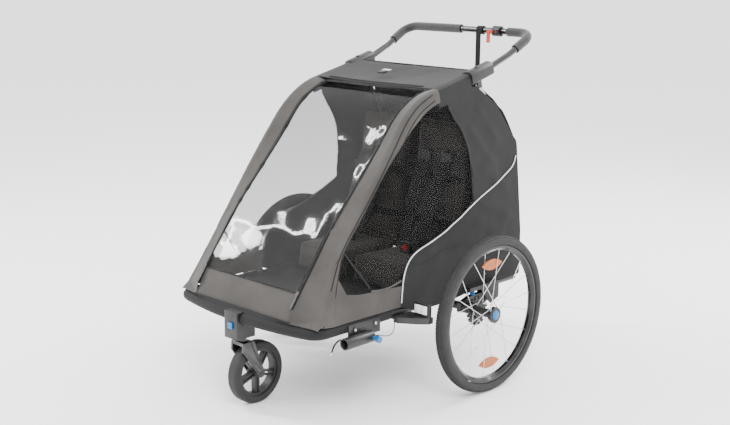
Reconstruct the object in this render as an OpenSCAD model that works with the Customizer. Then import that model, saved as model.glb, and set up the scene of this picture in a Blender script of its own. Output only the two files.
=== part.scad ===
// Two-seat child bicycle trailer with a front swivel wheel and a push handle.
// Origin: on the ground, on the centre line, midway between the front and the rear end.
// +X is the trailer's left side, -Y is forwards, +Z is up. Inside the modules y is
// measured from the main axle, and placed() moves every piece into the part's frame.

/* [Main wheels] */
// Outer diameter of the main wheels
wheel_d = 480; // [400:1:580]
// Width of the main tyres
tyre_w = 42; // [30:1:52]
// Distance of a main wheel's centre plane outside its side rail's centre
wheel_out = 133.5; // [128.5:0.5:160]
// Spokes in each main wheel
spoke_count = 20; // [12:4:28]
// Diameter of a spoke
spoke_d = 2.2; // [1.8:0.1:3]
// Diameter of the stub axle that a wheel is pushed onto
stub_d = 12; // [9:1:15]

/* [Front wheel] */
// Outer diameter of the front swivel wheel
caster_d = 188; // [156:1:226]
// Width of the front wheel
caster_w = 36; // [28:1:44]
// Distance of the front wheel's axle ahead of the main axle
caster_ahead = 565; // [555:1:620]
// Distance of the swivel axis ahead of the front wheel's axle
caster_trail = 47; // [36:1:56]
// Diameter of the steerer in the head block
steerer_d = 24; // [18:1:28]

/* [Base frame] */
// Distance between the centres of the two side rails
base_w = 578; // [540:1:700]
// Diameter of the base and hoop tubes
tube_d = 25; // [20:0.5:30]
// Height of the side rails' centres above the main axle
ride_h = 37; // [30:1:60]
// Reach of the straight side rails ahead of the main axle
rail_front = 562; // [500:1:620]
// Reach of the side rails behind the main axle
rail_rear = 285; // [240:1:340]
// How far the front of the base tube bows forwards
bumper_bow = 70; // [60:1:84]
// Radius of the base tube's front corners
corner_r = 40; // [30:1:60]
// Thickness of the foam sleeve round the bumper
sleeve_t = 3.3; // [2:0.1:5]

/* [Hoop] */
// Width of the cabin across the outside of the hoop covers
cabin_w = 530; // [500:1:600]
// Height of the hoop's lower bend above the rails
knee_up = 204; // [170:1:245]
// Height of the hoop's upper bend above the rails
crown_up = 592; // [530:1:660]
// Height of the hoop's rear end above the rails
hoop_end_up = 645; // [600:1:700]
// Radius of the hoop's upper bend
crown_r = 265; // [200:5:300]

/* [Handle] */
// Diameter of the handle tube
handle_d = 20; // [16:0.5:24]
// Outer diameter of the foam grips
grip_d = 29; // [26:0.5:34]
// Length of the receiver that holds each end of the handle
receiver_len = 104; // [85:1:125]
// Height of the handle's cross bar above the rails
handle_up = 765; // [720:1:820]
// Reach of the handle's cross bar behind the main axle
handle_back = 384; // [340:1:440]

/* [Rear frame] */
// Diameter of the rear frame's tube
rear_d = 20; // [16:0.5:22]
// Height of the rear frame's corner above the rails
rear_up = 426; // [380:1:460]

/* [Drawbar receiver] */
// Bore for the drawbar
drawbar_d = 26; // [20:0.5:30]
// Wall of the receiver tube
drawbar_wall = 4; // [3:0.5:6]
// Length of the receiver tube
drawbar_len = 108; // [90:1:130]

/* [Fits] */
// Thickness of the fabric skins
skin = 3; // [2:0.5:4]
// Gap between a skin or a soft piece and its neighbour
gap = 0.4; // [0.3:0.1:0.8]
// Radial clearance of a pin or a shaft in its bore
run = 0.05; // [0.02:0.01:0.1]

/* [Hidden] */
$fn = 48;

// Heights and places that follow from the sizes above
axle_z = wheel_d / 2;
rail_z = axle_z + ride_h;
rail_x = base_w / 2;
track = base_w + 2 * wheel_out;
tube_r = tube_d / 2;
cabin_x = cabin_w / 2;
hoop_x = cabin_x - skin - gap - tube_r;
base_x = rail_x + tube_r + gap + skin;
sleeve_r = tube_r + sleeve_t;
cross_r = 10;
floor_z = rail_z + cross_r + gap;
front_reach = max(caster_ahead + caster_d / 2, rail_front + bumper_bow + sleeve_r);
rear_reach = handle_back + grip_d / 2;
axle_y = (front_reach - rear_reach) / 2;

// The bow across the front is an arc that runs tangent into both corner arcs
bow_y = -rail_front - bumper_bow;
corner_x = rail_x - corner_r;
bow_r = (corner_x * corner_x + bumper_bow * bumper_bow - corner_r * corner_r)
    / (2 * (bumper_bow - corner_r));
bow_turn = asin(corner_x / (bow_r - corner_r));

// Pivots, as [y, z]
foot = [-rail_front - 6, rail_z + tube_r + 16.5];
rear_pivot = [rail_rear - 17, rail_z + tube_r + 16.5];
arm_pivot = [135, axle_z + 20];
hoop_knee = [-465.5, rail_z + knee_up];
hoop_crown = [-162.6, rail_z + crown_up];
receiver_tilt = 14.5;
receiver_at = [80, rail_z + hoop_end_up];
hoop_end = [receiver_at[0] + 10 * cos(receiver_tilt), receiver_at[1] + 10 * sin(receiver_tilt)];
stay_along = 50;
stay_drop = 36;
stay_pivot = receiver_at + [stay_along * cos(receiver_tilt) + stay_drop * sin(receiver_tilt),
    stay_along * sin(receiver_tilt) - stay_drop * cos(receiver_tilt)];
rear_skin_y = rail_rear + 9;
rear_corner = [rail_rear - 5, rail_z + rear_up];
stay_tip = [rail_rear - 14, rail_z + rear_up + 14];
receiver_r = 22;
leg_r = rear_d / 2;
stay_t = 5;
lug_t = 4;
leg_x = rail_x - tube_r - lug_t - gap - 0.1 - leg_r;
stay_x = hoop_x - lug_t / 2 - gap - stay_t / 2;
eye_w = 14;
foot_x = rail_x - tube_r + eye_w / 2 + gap;

// Suspension, from the side panel outwards
cheek_t = 4;
cheek_x = base_x + gap;
arm_w = 16;
arm_x = cheek_x + cheek_t + arm_w / 2 + gap;
spring_y = 40;
web_z = rail_z + 14;
brake_ring_r = 46;
brake_ring_t = 6;
hub_in = 53;
hub_out = 20;
pawl_r = 3;
pawl_at = brake_ring_r - 4;
notch_count = 16;
cap_r = 15;

// Front wheel
caster_r = caster_d / 2;
steer_y = -caster_ahead - caster_trail;
fork_top = caster_d + 12;
head_low = rail_z - 62;
head_half = 28;
steerer_top = rail_z - tube_r - 4;
fork_in = caster_w / 2 + 3;
fork_t = 7;

// Drawbar receiver, on the left rail only
drawbar_r = drawbar_d / 2;
drawbar_x = rail_x + sleeve_r + 1 + drawbar_r + drawbar_wall;
drawbar_z = rail_z - 33;
drawbar_front = -rail_front + 42;
pin_y = drawbar_front + drawbar_len - 8;
pin_r = 5;

// Small pieces
button_r = 6;
travel = 3;

// A small pin's bore in a turning plate, and the cover's front face, which clears the hoop's bend
loose = 0.2;
face_t = skin - 0.6;

// ---------- helpers ----------

function lerp(a, b, t) = a + (b - a) * t;
function unit(v) = v / norm(v);
function smooth(t) = let (c = min(max(t, 0), 1)) c * c * (3 - 2 * c);

// Points of an arc that rounds the corner at p between a and b
function rounded(a, p, b, r, n = 6) =
    let (u = unit(a - p), v = unit(b - p), half = acos(u * v) / 2,
        c = p + unit(u + v) * r / sin(half),
        s = p + u * r / tan(half) - c, e = p + v * r / tan(half) - c, turn = 180 - 2 * half)
    [for (i = [0:n]) c + (s * sin(turn * (1 - i / n)) + e * sin(turn * i / n)) / sin(turn)];

// A path with points added so that none are more than step apart
function filled(p, step) = concat([for (i = [0:len(p) - 2]) let (n = ceil(norm(p[i + 1] - p[i]) / step))
    for (k = [0:n - 1]) lerp(p[i], p[i + 1], k / n)], [p[len(p) - 1]]);

// Direction of a path at its point i, and a normal carried along it
function heading(p, i) = unit(p[min(i + 1, len(p) - 1)] - p[max(i - 1, 0)]);
function square_to(n, t) = unit(n - (n * t) * t);
function carried(p, n0) =
    [for (i = 0, n = square_to(n0, heading(p, 0)); i < len(p);
        i = i + 1, n = square_to(n, heading(p, min(i, len(p) - 1)))) n];

// A solid swept along a path, where shape is a counter-clockwise outline
module sweep(path, shape, n0 = [1, 0, 0]) {
    ns = carried(path, n0);
    k = len(shape);
    last = len(path) - 1;
    points = [for (i = [0:last]) let (t = heading(path, i), b = cross(t, ns[i]))
        for (s = shape) path[i] + s[0] * ns[i] + s[1] * b];
    sides = [for (i = [0:last - 1]) for (j = [0:k - 1])
        [i * k + j, (i + 1) * k + j, (i + 1) * k + (j + 1) % k, i * k + (j + 1) % k]];
    polyhedron(points, concat(sides, [[for (j = [0:k - 1]) j]],
        [[for (j = [k - 1:-1:0]) last * k + j]]), convexity = 6);
}

function round_shape(r, sides) = [for (i = [0:sides - 1]) r * [cos(360 * i / sides), sin(360 * i / sides)]];
function flat_shape(w, h) = [[w / 2, -h / 2], [w / 2, h / 2], [-w / 2, h / 2], [-w / 2, -h / 2]];

module tube(path, r, sides = 16) {
    sweep(path, round_shape(r, sides));
}

// A skin between an outer and an inner grid of points: rows run up or back, columns
// from the zip or the top downwards
module skin_between(outer, inner) {
    m = len(outer);
    n = len(outer[0]);
    o = m * n;
    points = concat([for (row = outer) for (p = row) p], [for (row = inner) for (p = row) p]);
    faces = [for (i = [0:m - 2]) for (j = [0:n - 2]) let (a = i * n + j)
        each [[a, a + n + 1, a + 1], [a, a + n, a + n + 1],
            [o + a, o + a + 1, o + a + n + 1], [o + a, o + a + n + 1, o + a + n]]];
    ends = [for (i = [0:m - 2]) let (a = i * n, b = i * n + n - 1)
        each [[a, o + a + n, a + n], [a, o + a, o + a + n],
            [b, b + n, o + b + n], [b, o + b + n, o + b]]];
    rims = [for (j = [0:n - 2]) let (a = j, b = (m - 1) * n + j)
        each [[a, a + 1, o + a + 1], [a, o + a + 1, o + a],
            [b, o + b + 1, b + 1], [b, o + b, o + b + 1]]];
    polyhedron(points, concat(faces, ends, rims), convexity = 6);
}

module placed() {
    translate([0, axle_y, 0]) children();
}

module both_sides() {
    for (s = [0, 1]) mirror([s, 0, 0]) children();
}

// A plate in the YZ plane whose middle is at x, drawn in [y, z]
module side_plate(x, t) {
    translate([x - t / 2, 0, 0]) rotate([90, 0, 90]) linear_extrude(t) children();
}

module cross_pin(x0, x1, at, r) {
    translate([x0, at[0], at[1]]) rotate([0, 90, 0]) cylinder(h = x1 - x0, r = r);
}

module at_wheel(side) {
    translate([side * track / 2, 0, axle_z]) rotate([0, 90 * side, 0]) children();
}

module at_caster() {
    translate([0, -caster_ahead, caster_r]) rotate([0, 90, 0]) children();
}

// The frame of a handle receiver: its own z runs up the handle tube
module at_receiver(side) {
    translate([side * hoop_x, receiver_at[0], receiver_at[1]])
        rotate([receiver_tilt - 90, 0, 0]) children();
}

// ---------- shapes that several pieces share ----------

// Heights in the cabin's outlines are given above the rails
function up(p) = [p[0], rail_z + p[1]];

hoop_path = concat([[foot_x, foot[0], foot[1]]],
    rounded([foot_x, foot[0], foot[1]], [hoop_x, hoop_knee[0], hoop_knee[1]],
        [hoop_x, hoop_crown[0], hoop_crown[1]], 200, 3),
    rounded([hoop_x, hoop_knee[0], hoop_knee[1]], [hoop_x, hoop_crown[0], hoop_crown[1]],
        [hoop_x, receiver_at[0], receiver_at[1]], crown_r, 8),
    [[hoop_x, hoop_end[0], hoop_end[1]]]);

// Outer half width of the cabin's side skin: it lies on the rail and on the hoop tube in
// front, and bellies out to the rail's width behind
hoop_x_at = concat([[rail_z + 13, rail_x]], [for (p = hoop_path) [p[2], p[0]]]);
belt_z = rail_z + 153;
function front_x(z) = lookup(z, hoop_x_at) + tube_r + gap + skin;
function back_x(z) = lerp(base_x, cabin_x, min(max((z - belt_z) / 420, 0), 1));
function side_x(y, z) = lerp(front_x(z), back_x(z), smooth((y + 520) / 370));
function on_side(p, inset = 0) = [side_x(p[0], p[1]) - inset, p[0], p[1]];

// The hoop's centre line in [y, z], with points at most 60 mm apart, and its outward normals
hoop_line = filled([for (p = hoop_path) [p[1], p[2]]], 60);
function out_of(line, i) =
    let (d = unit(line[min(i + 1, len(line) - 1)] - line[max(i - 1, 0)])) [-d[1], d[0]];

// Ridge of the covers over the hoop, and the zips, which stand forwards of it low down
// where the front skin runs over the bumper, and sink behind it over the crown
zip_x = 203;
function bulge(z) = z < hoop_knee[1] ? lerp(38, 14, (z - rail_z - 20) / (knee_up - 20))
    : lerp(14, -13, smooth((z - hoop_knee[1]) / 330));
function cover_w(z) = lookup(z - rail_z, [[20, 60], [110, 24], [200, 11], [430, 11], [570, 40]]);
ridge_all = [for (i = [0:len(hoop_line) - 1]) hoop_line[i] + out_of(hoop_line, i) * (tube_r + gap + skin)];
function inward(i, d) = ridge_all[i] - out_of(hoop_line, i) * d;
cover_end = -46;
covered = [for (i = [0:len(ridge_all) - 1]) if (ridge_all[i][0] < cover_end) i];
ridge = concat([[foot[0] - 34, rail_z + 20]], [for (i = covered) ridge_all[i]]);
zip_line = concat([[bow_y + 13, rail_z + 22]], [for (i = covered) inward(i, -bulge(ridge_all[i][1]))]);
window_front = concat([[foot[0] + 30, foot[1] + 4]], [for (i = covered) let (p = inward(i, cover_w(ridge_all[i][1])))
    if (p[1] > foot[1] + 8) p]);
function backwards(p) = [for (i = [len(p) - 1:-1:0]) p[i]];

// ---------- base frame ----------

base_half = [for (i = [0:12]) let (a = 90 - bow_turn + bow_turn * i / 12)
    [bow_r * cos(a), bow_y + bow_r - bow_r * sin(a)]];
corner_arc = [for (i = [1:5]) let (a = (90 - bow_turn) * i / 5)
    [corner_x + corner_r * cos(a), -rail_front - corner_r * sin(a)]];
rail_path = concat([[rail_x, rail_rear, rail_z], [rail_x, -rail_front, rail_z]],
    [for (p = corner_arc) [p[0], p[1], rail_z]],
    [for (i = [1:12]) [base_half[i][0], base_half[i][1], rail_z]]);
function mirrored(p) = [for (i = [len(p) - 2:-1:0]) [-p[i][0], p[i][1], p[i][2]]];

module base_tube() {
    color("dimgray") placed() sweep(concat(rail_path, mirrored(rail_path)),
        round_shape(tube_r, 16), [0, 0, 1]);
}

module cross_tubes() {
    color("dimgray") placed() difference() {
        for (y = [-294, 70, rail_rear - 60])
            cross_pin(-rail_x, rail_x, [y, rail_z], cross_r);
        for (s = [-1, 1]) translate([s * rail_x, -rail_front, rail_z])
            rotate([-90, 0, 0]) cylinder(h = rail_front + rail_rear, r = tube_r + run);
    }
}

// Ends of the sleeve: at the head block and just ahead of the wheel guard
module bumper_sleeve() {
    sleeve_path = concat([[rail_x, -306, rail_z], [rail_x, -rail_front, rail_z]],
        [for (p = corner_arc) [p[0], p[1], rail_z]],
        [for (i = [1:10]) [base_half[i][0], base_half[i][1], rail_z]],
        [[head_half + 1, bow_y + bow_r - sqrt(bow_r * bow_r - pow(head_half + 1, 2)), rail_z]]);
    color([0.16, 0.16, 0.16]) placed() both_sides() difference() {
        sweep(sleeve_path, round_shape(sleeve_r, 16), [0, 0, 1]);
        sweep(concat([[rail_x, -300, rail_z]], sleeve_path, [[head_half - 5,
            bow_y + 0.3, rail_z]]), round_shape(tube_r + gap, 16), [0, 0, 1]);
        translate([rail_x - tube_r - lug_t - gap, foot[0] - 16, rail_z - 5]) cube([lug_t + 2 * gap, 32, 40]);
    }
}

module floor_board() {
    edge = rail_x - tube_r - gap;
    color([0.1, 0.1, 0.1]) placed() translate([0, 0, floor_z]) linear_extrude(skin)
        polygon([[-edge + 12, rail_rear - 40], [-edge + 12, -rail_front + 30], [-edge + 60, -rail_front - 14],
            [-80, steer_y + 25], [80, steer_y + 25],
            [edge - 60, -rail_front - 14], [edge - 12, -rail_front + 30], [edge - 12, rail_rear - 40]]);
}

module lug(at, x) {
    side_plate(x, lug_t) polygon([[at[0] - 15, rail_z - 4], [at[0] + 15, rail_z - 4],
        [at[0] + 9, at[1] + 9], [at[0] - 7, at[1] + 9]]);
}

// Lugs welded inside the rails: the hoop's feet turn on the front ones
module hinge_lugs() {
    inner = rail_x - tube_r - lug_t / 2;
    color("dimgray") placed() both_sides() {
        difference() {
            lug(foot, inner);
            translate([corner_x, -rail_front, rail_z]) rotate_extrude() translate([corner_r, 0])
                circle(r = tube_r + 0.15);
        }
        cross_pin(inner, foot_x + eye_w / 2 + 3, foot, 5);
        lug(rear_pivot, inner);
        cross_pin(leg_x - leg_r - 3, inner, rear_pivot, 5);
    }
}

// ---------- suspension ----------

module cheek(x) {
    side_plate(x, cheek_t) difference() {
        polygon([[18, web_z], [160, web_z], [160, arm_pivot[1] - 18], [arm_pivot[0] - 13, arm_pivot[1] - 33],
            [arm_pivot[0] - 30, arm_pivot[1] - 18], [70, web_z - 9], [18, web_z - 7]]);
        translate(arm_pivot) circle(r = 5 + run);
    }
}

module suspension_brackets() {
    color([0.2, 0.2, 0.2]) placed() both_sides() {
        cheek(cheek_x + cheek_t / 2);
        cheek(arm_x + arm_w / 2 + gap + cheek_t / 2);
        translate([cheek_x, 18, web_z])
            cube([arm_w + 2 * (cheek_t + gap), 142, 4]);
        for (y = [34, 146]) cross_pin(rail_x + tube_r + 0.1, cheek_x + 1, [y, rail_z - 3], 6);
    }
}

// The two trailing arms, the beam that ties them and the stub axles are one weldment
module swing_axle() {
    color([0.13, 0.13, 0.13]) placed() {
        cross_pin(-arm_x, arm_x, [0, axle_z], tube_r);
        both_sides() {
            side_plate(arm_x, arm_w) polygon([[-20, axle_z - 14], [20, axle_z - 16],
                [arm_pivot[0] + 13, arm_pivot[1] - 12], [arm_pivot[0] + 13, arm_pivot[1] + 10],
                [spring_y + 22, axle_z + 29], [spring_y - 14, axle_z + 28], [-20, axle_z + 14]]);
            cross_pin(cheek_x - 0.2, arm_x + arm_w / 2 + cheek_t + gap + 2, arm_pivot, 5);
            cross_pin(arm_x, track / 2 - hub_in - 4, [0, axle_z], 18);
            cross_pin(arm_x, track / 2 + 13, [0, axle_z], stub_d / 2);
            difference() {
                cross_pin(arm_x, track / 2 - hub_in - 8, [pawl_at, axle_z], 8);
                cross_pin(arm_x + arm_w / 2 + 4, track / 2, [pawl_at, axle_z], pawl_r + run);
            }
        }
    }
}

module elastomer_springs() {
    low = axle_z + 28.6 + gap;
    color([0.1, 0.6, 0.9]) placed() both_sides() translate([arm_x, spring_y + 4, 0])
        for (i = [0:2]) translate([0, 0, low + i * (web_z - gap - low) / 3])
            cylinder(h = (web_z - gap - low) / 3, r = 8 - 1.5 * (i % 2));
}

module brake_pawl(side) {
    x0 = arm_x + arm_w / 2 + 12;
    x1 = track / 2 - hub_in - 1;
    color("silver") placed() cross_pin(side > 0 ? x0 : -x1, side > 0 ? x1 : -x0, [pawl_at, axle_z], pawl_r);
}
module brake_pawl_left() {
    brake_pawl(1);
}
module brake_pawl_right() {
    brake_pawl(-1);
}

// ---------- main wheels ----------

rim_out = wheel_d / 2 - tyre_w * 0.72;
rim_in = wheel_d / 2 - 45;
tyre_r = tyre_w / 2;

module tyre(side) {
    color([0.12, 0.12, 0.12]) placed() at_wheel(side) rotate_extrude($fn = 96) difference() {
        translate([wheel_d / 2 - tyre_r, 0]) circle(r = tyre_r);
        translate([rim_in, -tyre_r]) square([rim_out - rim_in + gap, tyre_w]);
        translate([rim_out - 1, -tyre_r * 0.42]) square([8, tyre_r * 0.84]);
    }
}

module rim(side) {
    half = tyre_r * 0.62;
    color([0.1, 0.1, 0.1]) placed() at_wheel(side) rotate_extrude($fn = 96)
        polygon([[rim_in, -5], [rim_in, 5], [rim_in + 8, half], [rim_out, half], [rim_out, half - 2],
            [rim_out - 5, half - 3], [rim_out - 5, 3 - half], [rim_out, 2 - half], [rim_out, -half],
            [rim_in + 8, -half]]);
}

// Spokes lean to the two hub flanges in turn, on alternate faces so that they cross clear
module spokes(side) {
    color("silver") placed() at_wheel(side) for (i = [0:spoke_count - 1]) {
        out = i % 2;
        way = floor(i / 2) % 2 == 0 ? 1 : -1;
        lean = way * 62;
        at_rim = 360 * (i + 0.5) / spoke_count;
        from = [25.2 * cos(at_rim + lean), 25.2 * sin(at_rim + lean), (out == 1 ? 14 : -42.8) + way * 2.6];
        to = [(rim_in + gap) * cos(at_rim), (rim_in + gap) * sin(at_rim), out == 1 ? 2 : -2];
        d = to - from;
        translate(from) rotate([0, acos(d[2] / norm(d)), atan2(d[1], d[0])])
            cylinder(h = norm(d) - 1.2, d = spoke_d, $fn = 16);
    }
}

module hub(side) {
    color([0.08, 0.08, 0.08]) placed() at_wheel(side) difference() {
        union() {
            translate([0, 0, -hub_in]) cylinder(h = brake_ring_t, r = brake_ring_r);
            translate([0, 0, -hub_in]) cylinder(h = hub_in + hub_out, r = 13);
            translate([0, 0, -hub_in]) cylinder(h = 14, r = 24);
            translate([0, 0, 8]) cylinder(h = hub_out - 8, r = 24);
        }
        translate([0, 0, -hub_in - 1]) cylinder(h = hub_in + 14, r = stub_d / 2 + run);
        translate([0, 0, 13.5]) cylinder(h = hub_out, r = cap_r + gap);
        for (i = [0:notch_count - 1]) rotate(90 + 360 * i / notch_count)
            translate([brake_ring_r - 9, -4, -hub_in - 1]) cube([12, 8, brake_ring_t + 2]);
    }
}

// Lens-shaped reflectors clipped between the spokes
module wheel_reflectors(side) {
    color("orange") placed() at_wheel(side) for (a = [0, 180]) rotate(a)
        translate([rim_in - 42, 0, -2.2]) linear_extrude(4.4) intersection() {
            translate([62, 0]) circle(r = 78);
            translate([-62, 0]) circle(r = 78);
        }
}

module hub_button(side) {
    color([0.1, 0.6, 0.9]) placed() at_wheel(side) translate([0, 0, 13.5 + travel + 0.6])
        cylinder(h = 9, r = cap_r);
}

module tyre_left() {
    tyre(1);
}
module tyre_right() {
    tyre(-1);
}
module rim_left() {
    rim(1);
}
module rim_right() {
    rim(-1);
}
module spokes_left() {
    spokes(1);
}
module spokes_right() {
    spokes(-1);
}
module hub_left() {
    hub(1);
}
module hub_right() {
    hub(-1);
}
module wheel_reflectors_left() {
    wheel_reflectors(1);
}
module wheel_reflectors_right() {
    wheel_reflectors(-1);
}
module hub_button_left() {
    hub_button(1);
}
module hub_button_right() {
    hub_button(-1);
}

// ---------- front wheel ----------

module head_block() {
    color([0.2, 0.2, 0.2]) placed() difference() {
        translate([-head_half, bow_y - 24, head_low])
            cube([2 * head_half, -bow_y + 24 + steer_y + 24, rail_z + 19 - head_low]);
        translate([0, steer_y, head_low - 1])
            cylinder(h = steerer_top + 2 - head_low, r = steerer_d / 2 + run);
        cross_pin(-head_half - 1, head_half + 1, [bow_y, rail_z], tube_r + gap);
        translate([-10, bow_y - 25, rail_z - 32]) cube([20, 9, 20]);
    }
}

module head_button() {
    color([0.1, 0.6, 0.9]) placed() translate([-9.5, bow_y - 24 - 4, rail_z - 31.5])
        cube([19, 8.5, 19]);
}

module caster_fork() {
    axle = [-caster_ahead, caster_r];
    color([0.12, 0.12, 0.12]) placed() {
        translate([0, steer_y, fork_top - 6]) cylinder(h = steerer_top - fork_top + 6, r = steerer_d / 2);
        translate([-fork_in - fork_t, steer_y - 20, caster_d + 2])
            cube([2 * (fork_in + fork_t), 40, fork_top - caster_d - 2]);
        for (s = [-1, 1]) side_plate(s * (fork_in + fork_t / 2), fork_t) {
            polygon([[steer_y - 20, fork_top], [steer_y + 20, fork_top], [axle[0] + 12, axle[1] + 4],
                [axle[0] - 12, axle[1] - 4], [steer_y - 22, caster_d - 16]]);
            translate(axle) circle(r = 13);
        }
        cross_pin(-fork_in - fork_t - 4, fork_in + fork_t + 4, axle, 5);
    }
}

module caster_tyre() {
    color([0.13, 0.13, 0.13]) placed() at_caster() rotate_extrude($fn = 72) difference() {
        hub_side = caster_r - 22;
        translate([hub_side, -caster_w / 2]) square([22, caster_w]);
        for (s = [-1, 1]) translate([caster_r - 8, s * (caster_w / 2 - 8)]) difference() {
            translate([0, s < 0 ? -8 : 0]) square([9, 8]);
            circle(r = 8);
        }
    }
}

module caster_rim() {
    outer = caster_r - 22 - gap / 4;
    color([0.1, 0.1, 0.1]) placed() at_caster() difference() {
        union() {
            rotate_extrude($fn = 72) translate([outer - 8, -14]) square([8, 28]);
            translate([0, 0, -fork_in + 1]) cylinder(h = 2 * fork_in - 2, r = 15);
            for (i = [0:4]) for (s = [-1, 1]) rotate(72 * i) translate([10, s * 6 - 2.5, -9])
                cube([outer - 14, 5, 18]);
        }
        translate([0, 0, -fork_in]) cylinder(h = 2 * fork_in, r = 5 + run);
    }
}

// ---------- drawbar receiver, wheel guards and cords ----------

module drawbar_receiver() {
    plate_x = rail_x + sleeve_r + gap;
    color([0.2, 0.2, 0.2]) placed() difference() {
        union() {
            translate([drawbar_x, drawbar_front, drawbar_z]) rotate([-90, 0, 0])
                cylinder(h = drawbar_len, r = drawbar_r + drawbar_wall);
            translate([plate_x, drawbar_front + 31, drawbar_z])
                cube([4, 128, rail_z + 10 - drawbar_z]);
            for (y = [drawbar_front + 55, drawbar_front + 135]) cross_pin(plate_x + 3, plate_x + 7, [y, rail_z - 2], 6);
        }
        translate([drawbar_x, drawbar_front - 1, drawbar_z]) rotate([-90, 0, 0])
            cylinder(h = drawbar_len + 2, r = drawbar_r);
        cross_pin(drawbar_x, drawbar_x + 40, [pin_y, drawbar_z], pin_r + run);
    }
}

// The lock pin, drawn back to the wall so that the bore is free
module drawbar_pin() {
    color([0.1, 0.6, 0.9]) placed() {
        wall = drawbar_x + drawbar_r;
        cross_pin(wall + 0.3, wall + 22, [pin_y, drawbar_z], pin_r);
        cross_pin(wall + drawbar_wall + 10.5, wall + drawbar_wall + 24, [pin_y, drawbar_z], 9.5);
    }
}

module wheel_guards() {
    in_x = base_x + gap;
    out_x = track / 2 - tyre_w / 2 - 8;
    low = rail_z - 22;
    color([0.15, 0.15, 0.15]) placed() both_sides() {
        translate([0, 0, low]) linear_extrude(18) polygon([[in_x, -302], [in_x + 16, -302],
            [out_x - 25, -270], [out_x, -246], [out_x, -228], [in_x, -228]]);
        translate([in_x + 30, -246, low + 17]) cube([out_x - in_x - 30, 10, 40]);
        translate([in_x + 36, -250, low + 27]) cube([out_x - in_x - 42, 4.5, 26]);
        translate([rail_x - 8, -290, rail_z - tube_r - gap - 6]) cube([in_x - rail_x + 10, 50, 6]);
    }
}

tether_route = [[336, -411.6, 249], [342, -398, 247], [347, -380, 242], [346, -360, 240],
    [338, -338, 242], [326, -320, 249], [316, -309, 257], [313, -303, 262]];
tipped_route = [[306, -518, 254], [303, -527, 249], [301, -536, 241], [303, -545, 232], [305, -551, 224]];
function lifted(p) = [for (q = p) [q[0], q[1], q[2] + rail_z - 277]];

module tether_cord() {
    color([0.08, 0.08, 0.08]) placed() tube(lifted(tether_route), 1.25, 8);
}

module tipped_cord() {
    color([0.08, 0.08, 0.08]) placed() tube(lifted(tipped_route), 2.5, 8);
}

module cord_tip() {
    end = lifted(tipped_route)[4];
    color("silver") placed() translate([end[0], end[1] - 0.4, end[2] - 0.8]) rotate([143, 0, 0])
        cylinder(h = 12, r = 3);
}

// ---------- hoop ----------

module hoop_tubes() {
    color("dimgray") placed() both_sides() {
        difference() {
            union() {
                tube(hoop_path, tube_r, 16);
                cross_pin(foot_x - eye_w / 2, foot_x + eye_w / 2, foot, 13);
            }
            cross_pin(foot_x - tube_r - 6, foot_x + tube_r + 6, foot, 5 + run);
            for (s = [-1, 1]) translate([foot_x + s * (eye_w / 2 + 10) - 10, foot[0] - 16, foot[1] - 16])
                cube([20, 32, 34]);
        }
    }
}

module hoop_cross_tube() {
    color("dimgray") placed() cross_pin(-hoop_x + tube_r + gap / 2, hoop_x - tube_r - gap / 2,
        [-40, lookup(-40, hoop_line)], cross_r);
}

module handle_receivers() {
    color([0.14, 0.14, 0.14]) placed() for (s = [-1, 1]) at_receiver(s) difference() {
        union() {
            intersection() {
                translate([-19, -receiver_r, 0]) cube([38, 2 * receiver_r, receiver_len]);
                cylinder(h = receiver_len, r = receiver_r + 1);
            }
            translate([-lug_t / 2, receiver_r - 2, stay_along - 10]) cube([lug_t, stay_drop - receiver_r + 12, 20]);
            translate([0, stay_drop, stay_along]) rotate([0, -90 * s, 0]) cylinder(h = lug_t / 2 + gap + stay_t + 2, r = 4);
        }
        translate([0, 0, -1]) cylinder(h = 12, r = tube_r + gap);
        translate([0, 0, 12]) cylinder(h = receiver_len, r = handle_d / 2 + run);
        translate([0, -receiver_r - 1, 45]) rotate([-90, 0, 0]) cylinder(h = 10, r = button_r + run);
    }
}

module receiver_button(side) {
    color([0.1, 0.1, 0.1]) placed() at_receiver(side) translate([0, -receiver_r - 2.5, 45])
        rotate([-90, 0, 0]) cylinder(h = 7.5, r = button_r);
}
module receiver_button_left() {
    receiver_button(1);
}
module receiver_button_right() {
    receiver_button(-1);
}

// The cabin's left side as one skin, from which outlines in [y, z] cut the side's pieces
shell_y = concat([for (k = [0:8]) -620 + k * 58.75], [rear_skin_y + 5]);
shell_top = rail_z + 660;
shell_step = 52;
module side_piece() {
    function grid(inset) = [for (y = shell_y) [for (k = [0:13]) on_side([y, shell_top - k * shell_step], inset)]];
    intersection() {
        skin_between(grid(0), grid(skin));
        side_plate(cabin_x, 160) children();
    }
}

module cover_shape() {
    polygon(concat(ridge, backwards(window_front)));
}

module window_shape() {
    difference() {
        polygon(concat([for (p = [[-498, 183], [-498, 139], [-476, 93], [-431, 84], [-350, 80], [-261, 78],
            [-252, 118], [-222, 160], [-153, 184], [-72, 209], [12, 244], [67, 278], [65, 367], [56, 436],
            [31, 491], [-2, 538], [-36, 579], [-68, 571]]) up(p)],
            backwards([for (i = covered) if (ridge_all[i][1] > rail_z + 200 && ridge_all[i][0] < -90) inward(i, 1)])));
        offset(delta = gap) cover_shape();
    }
}

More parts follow.
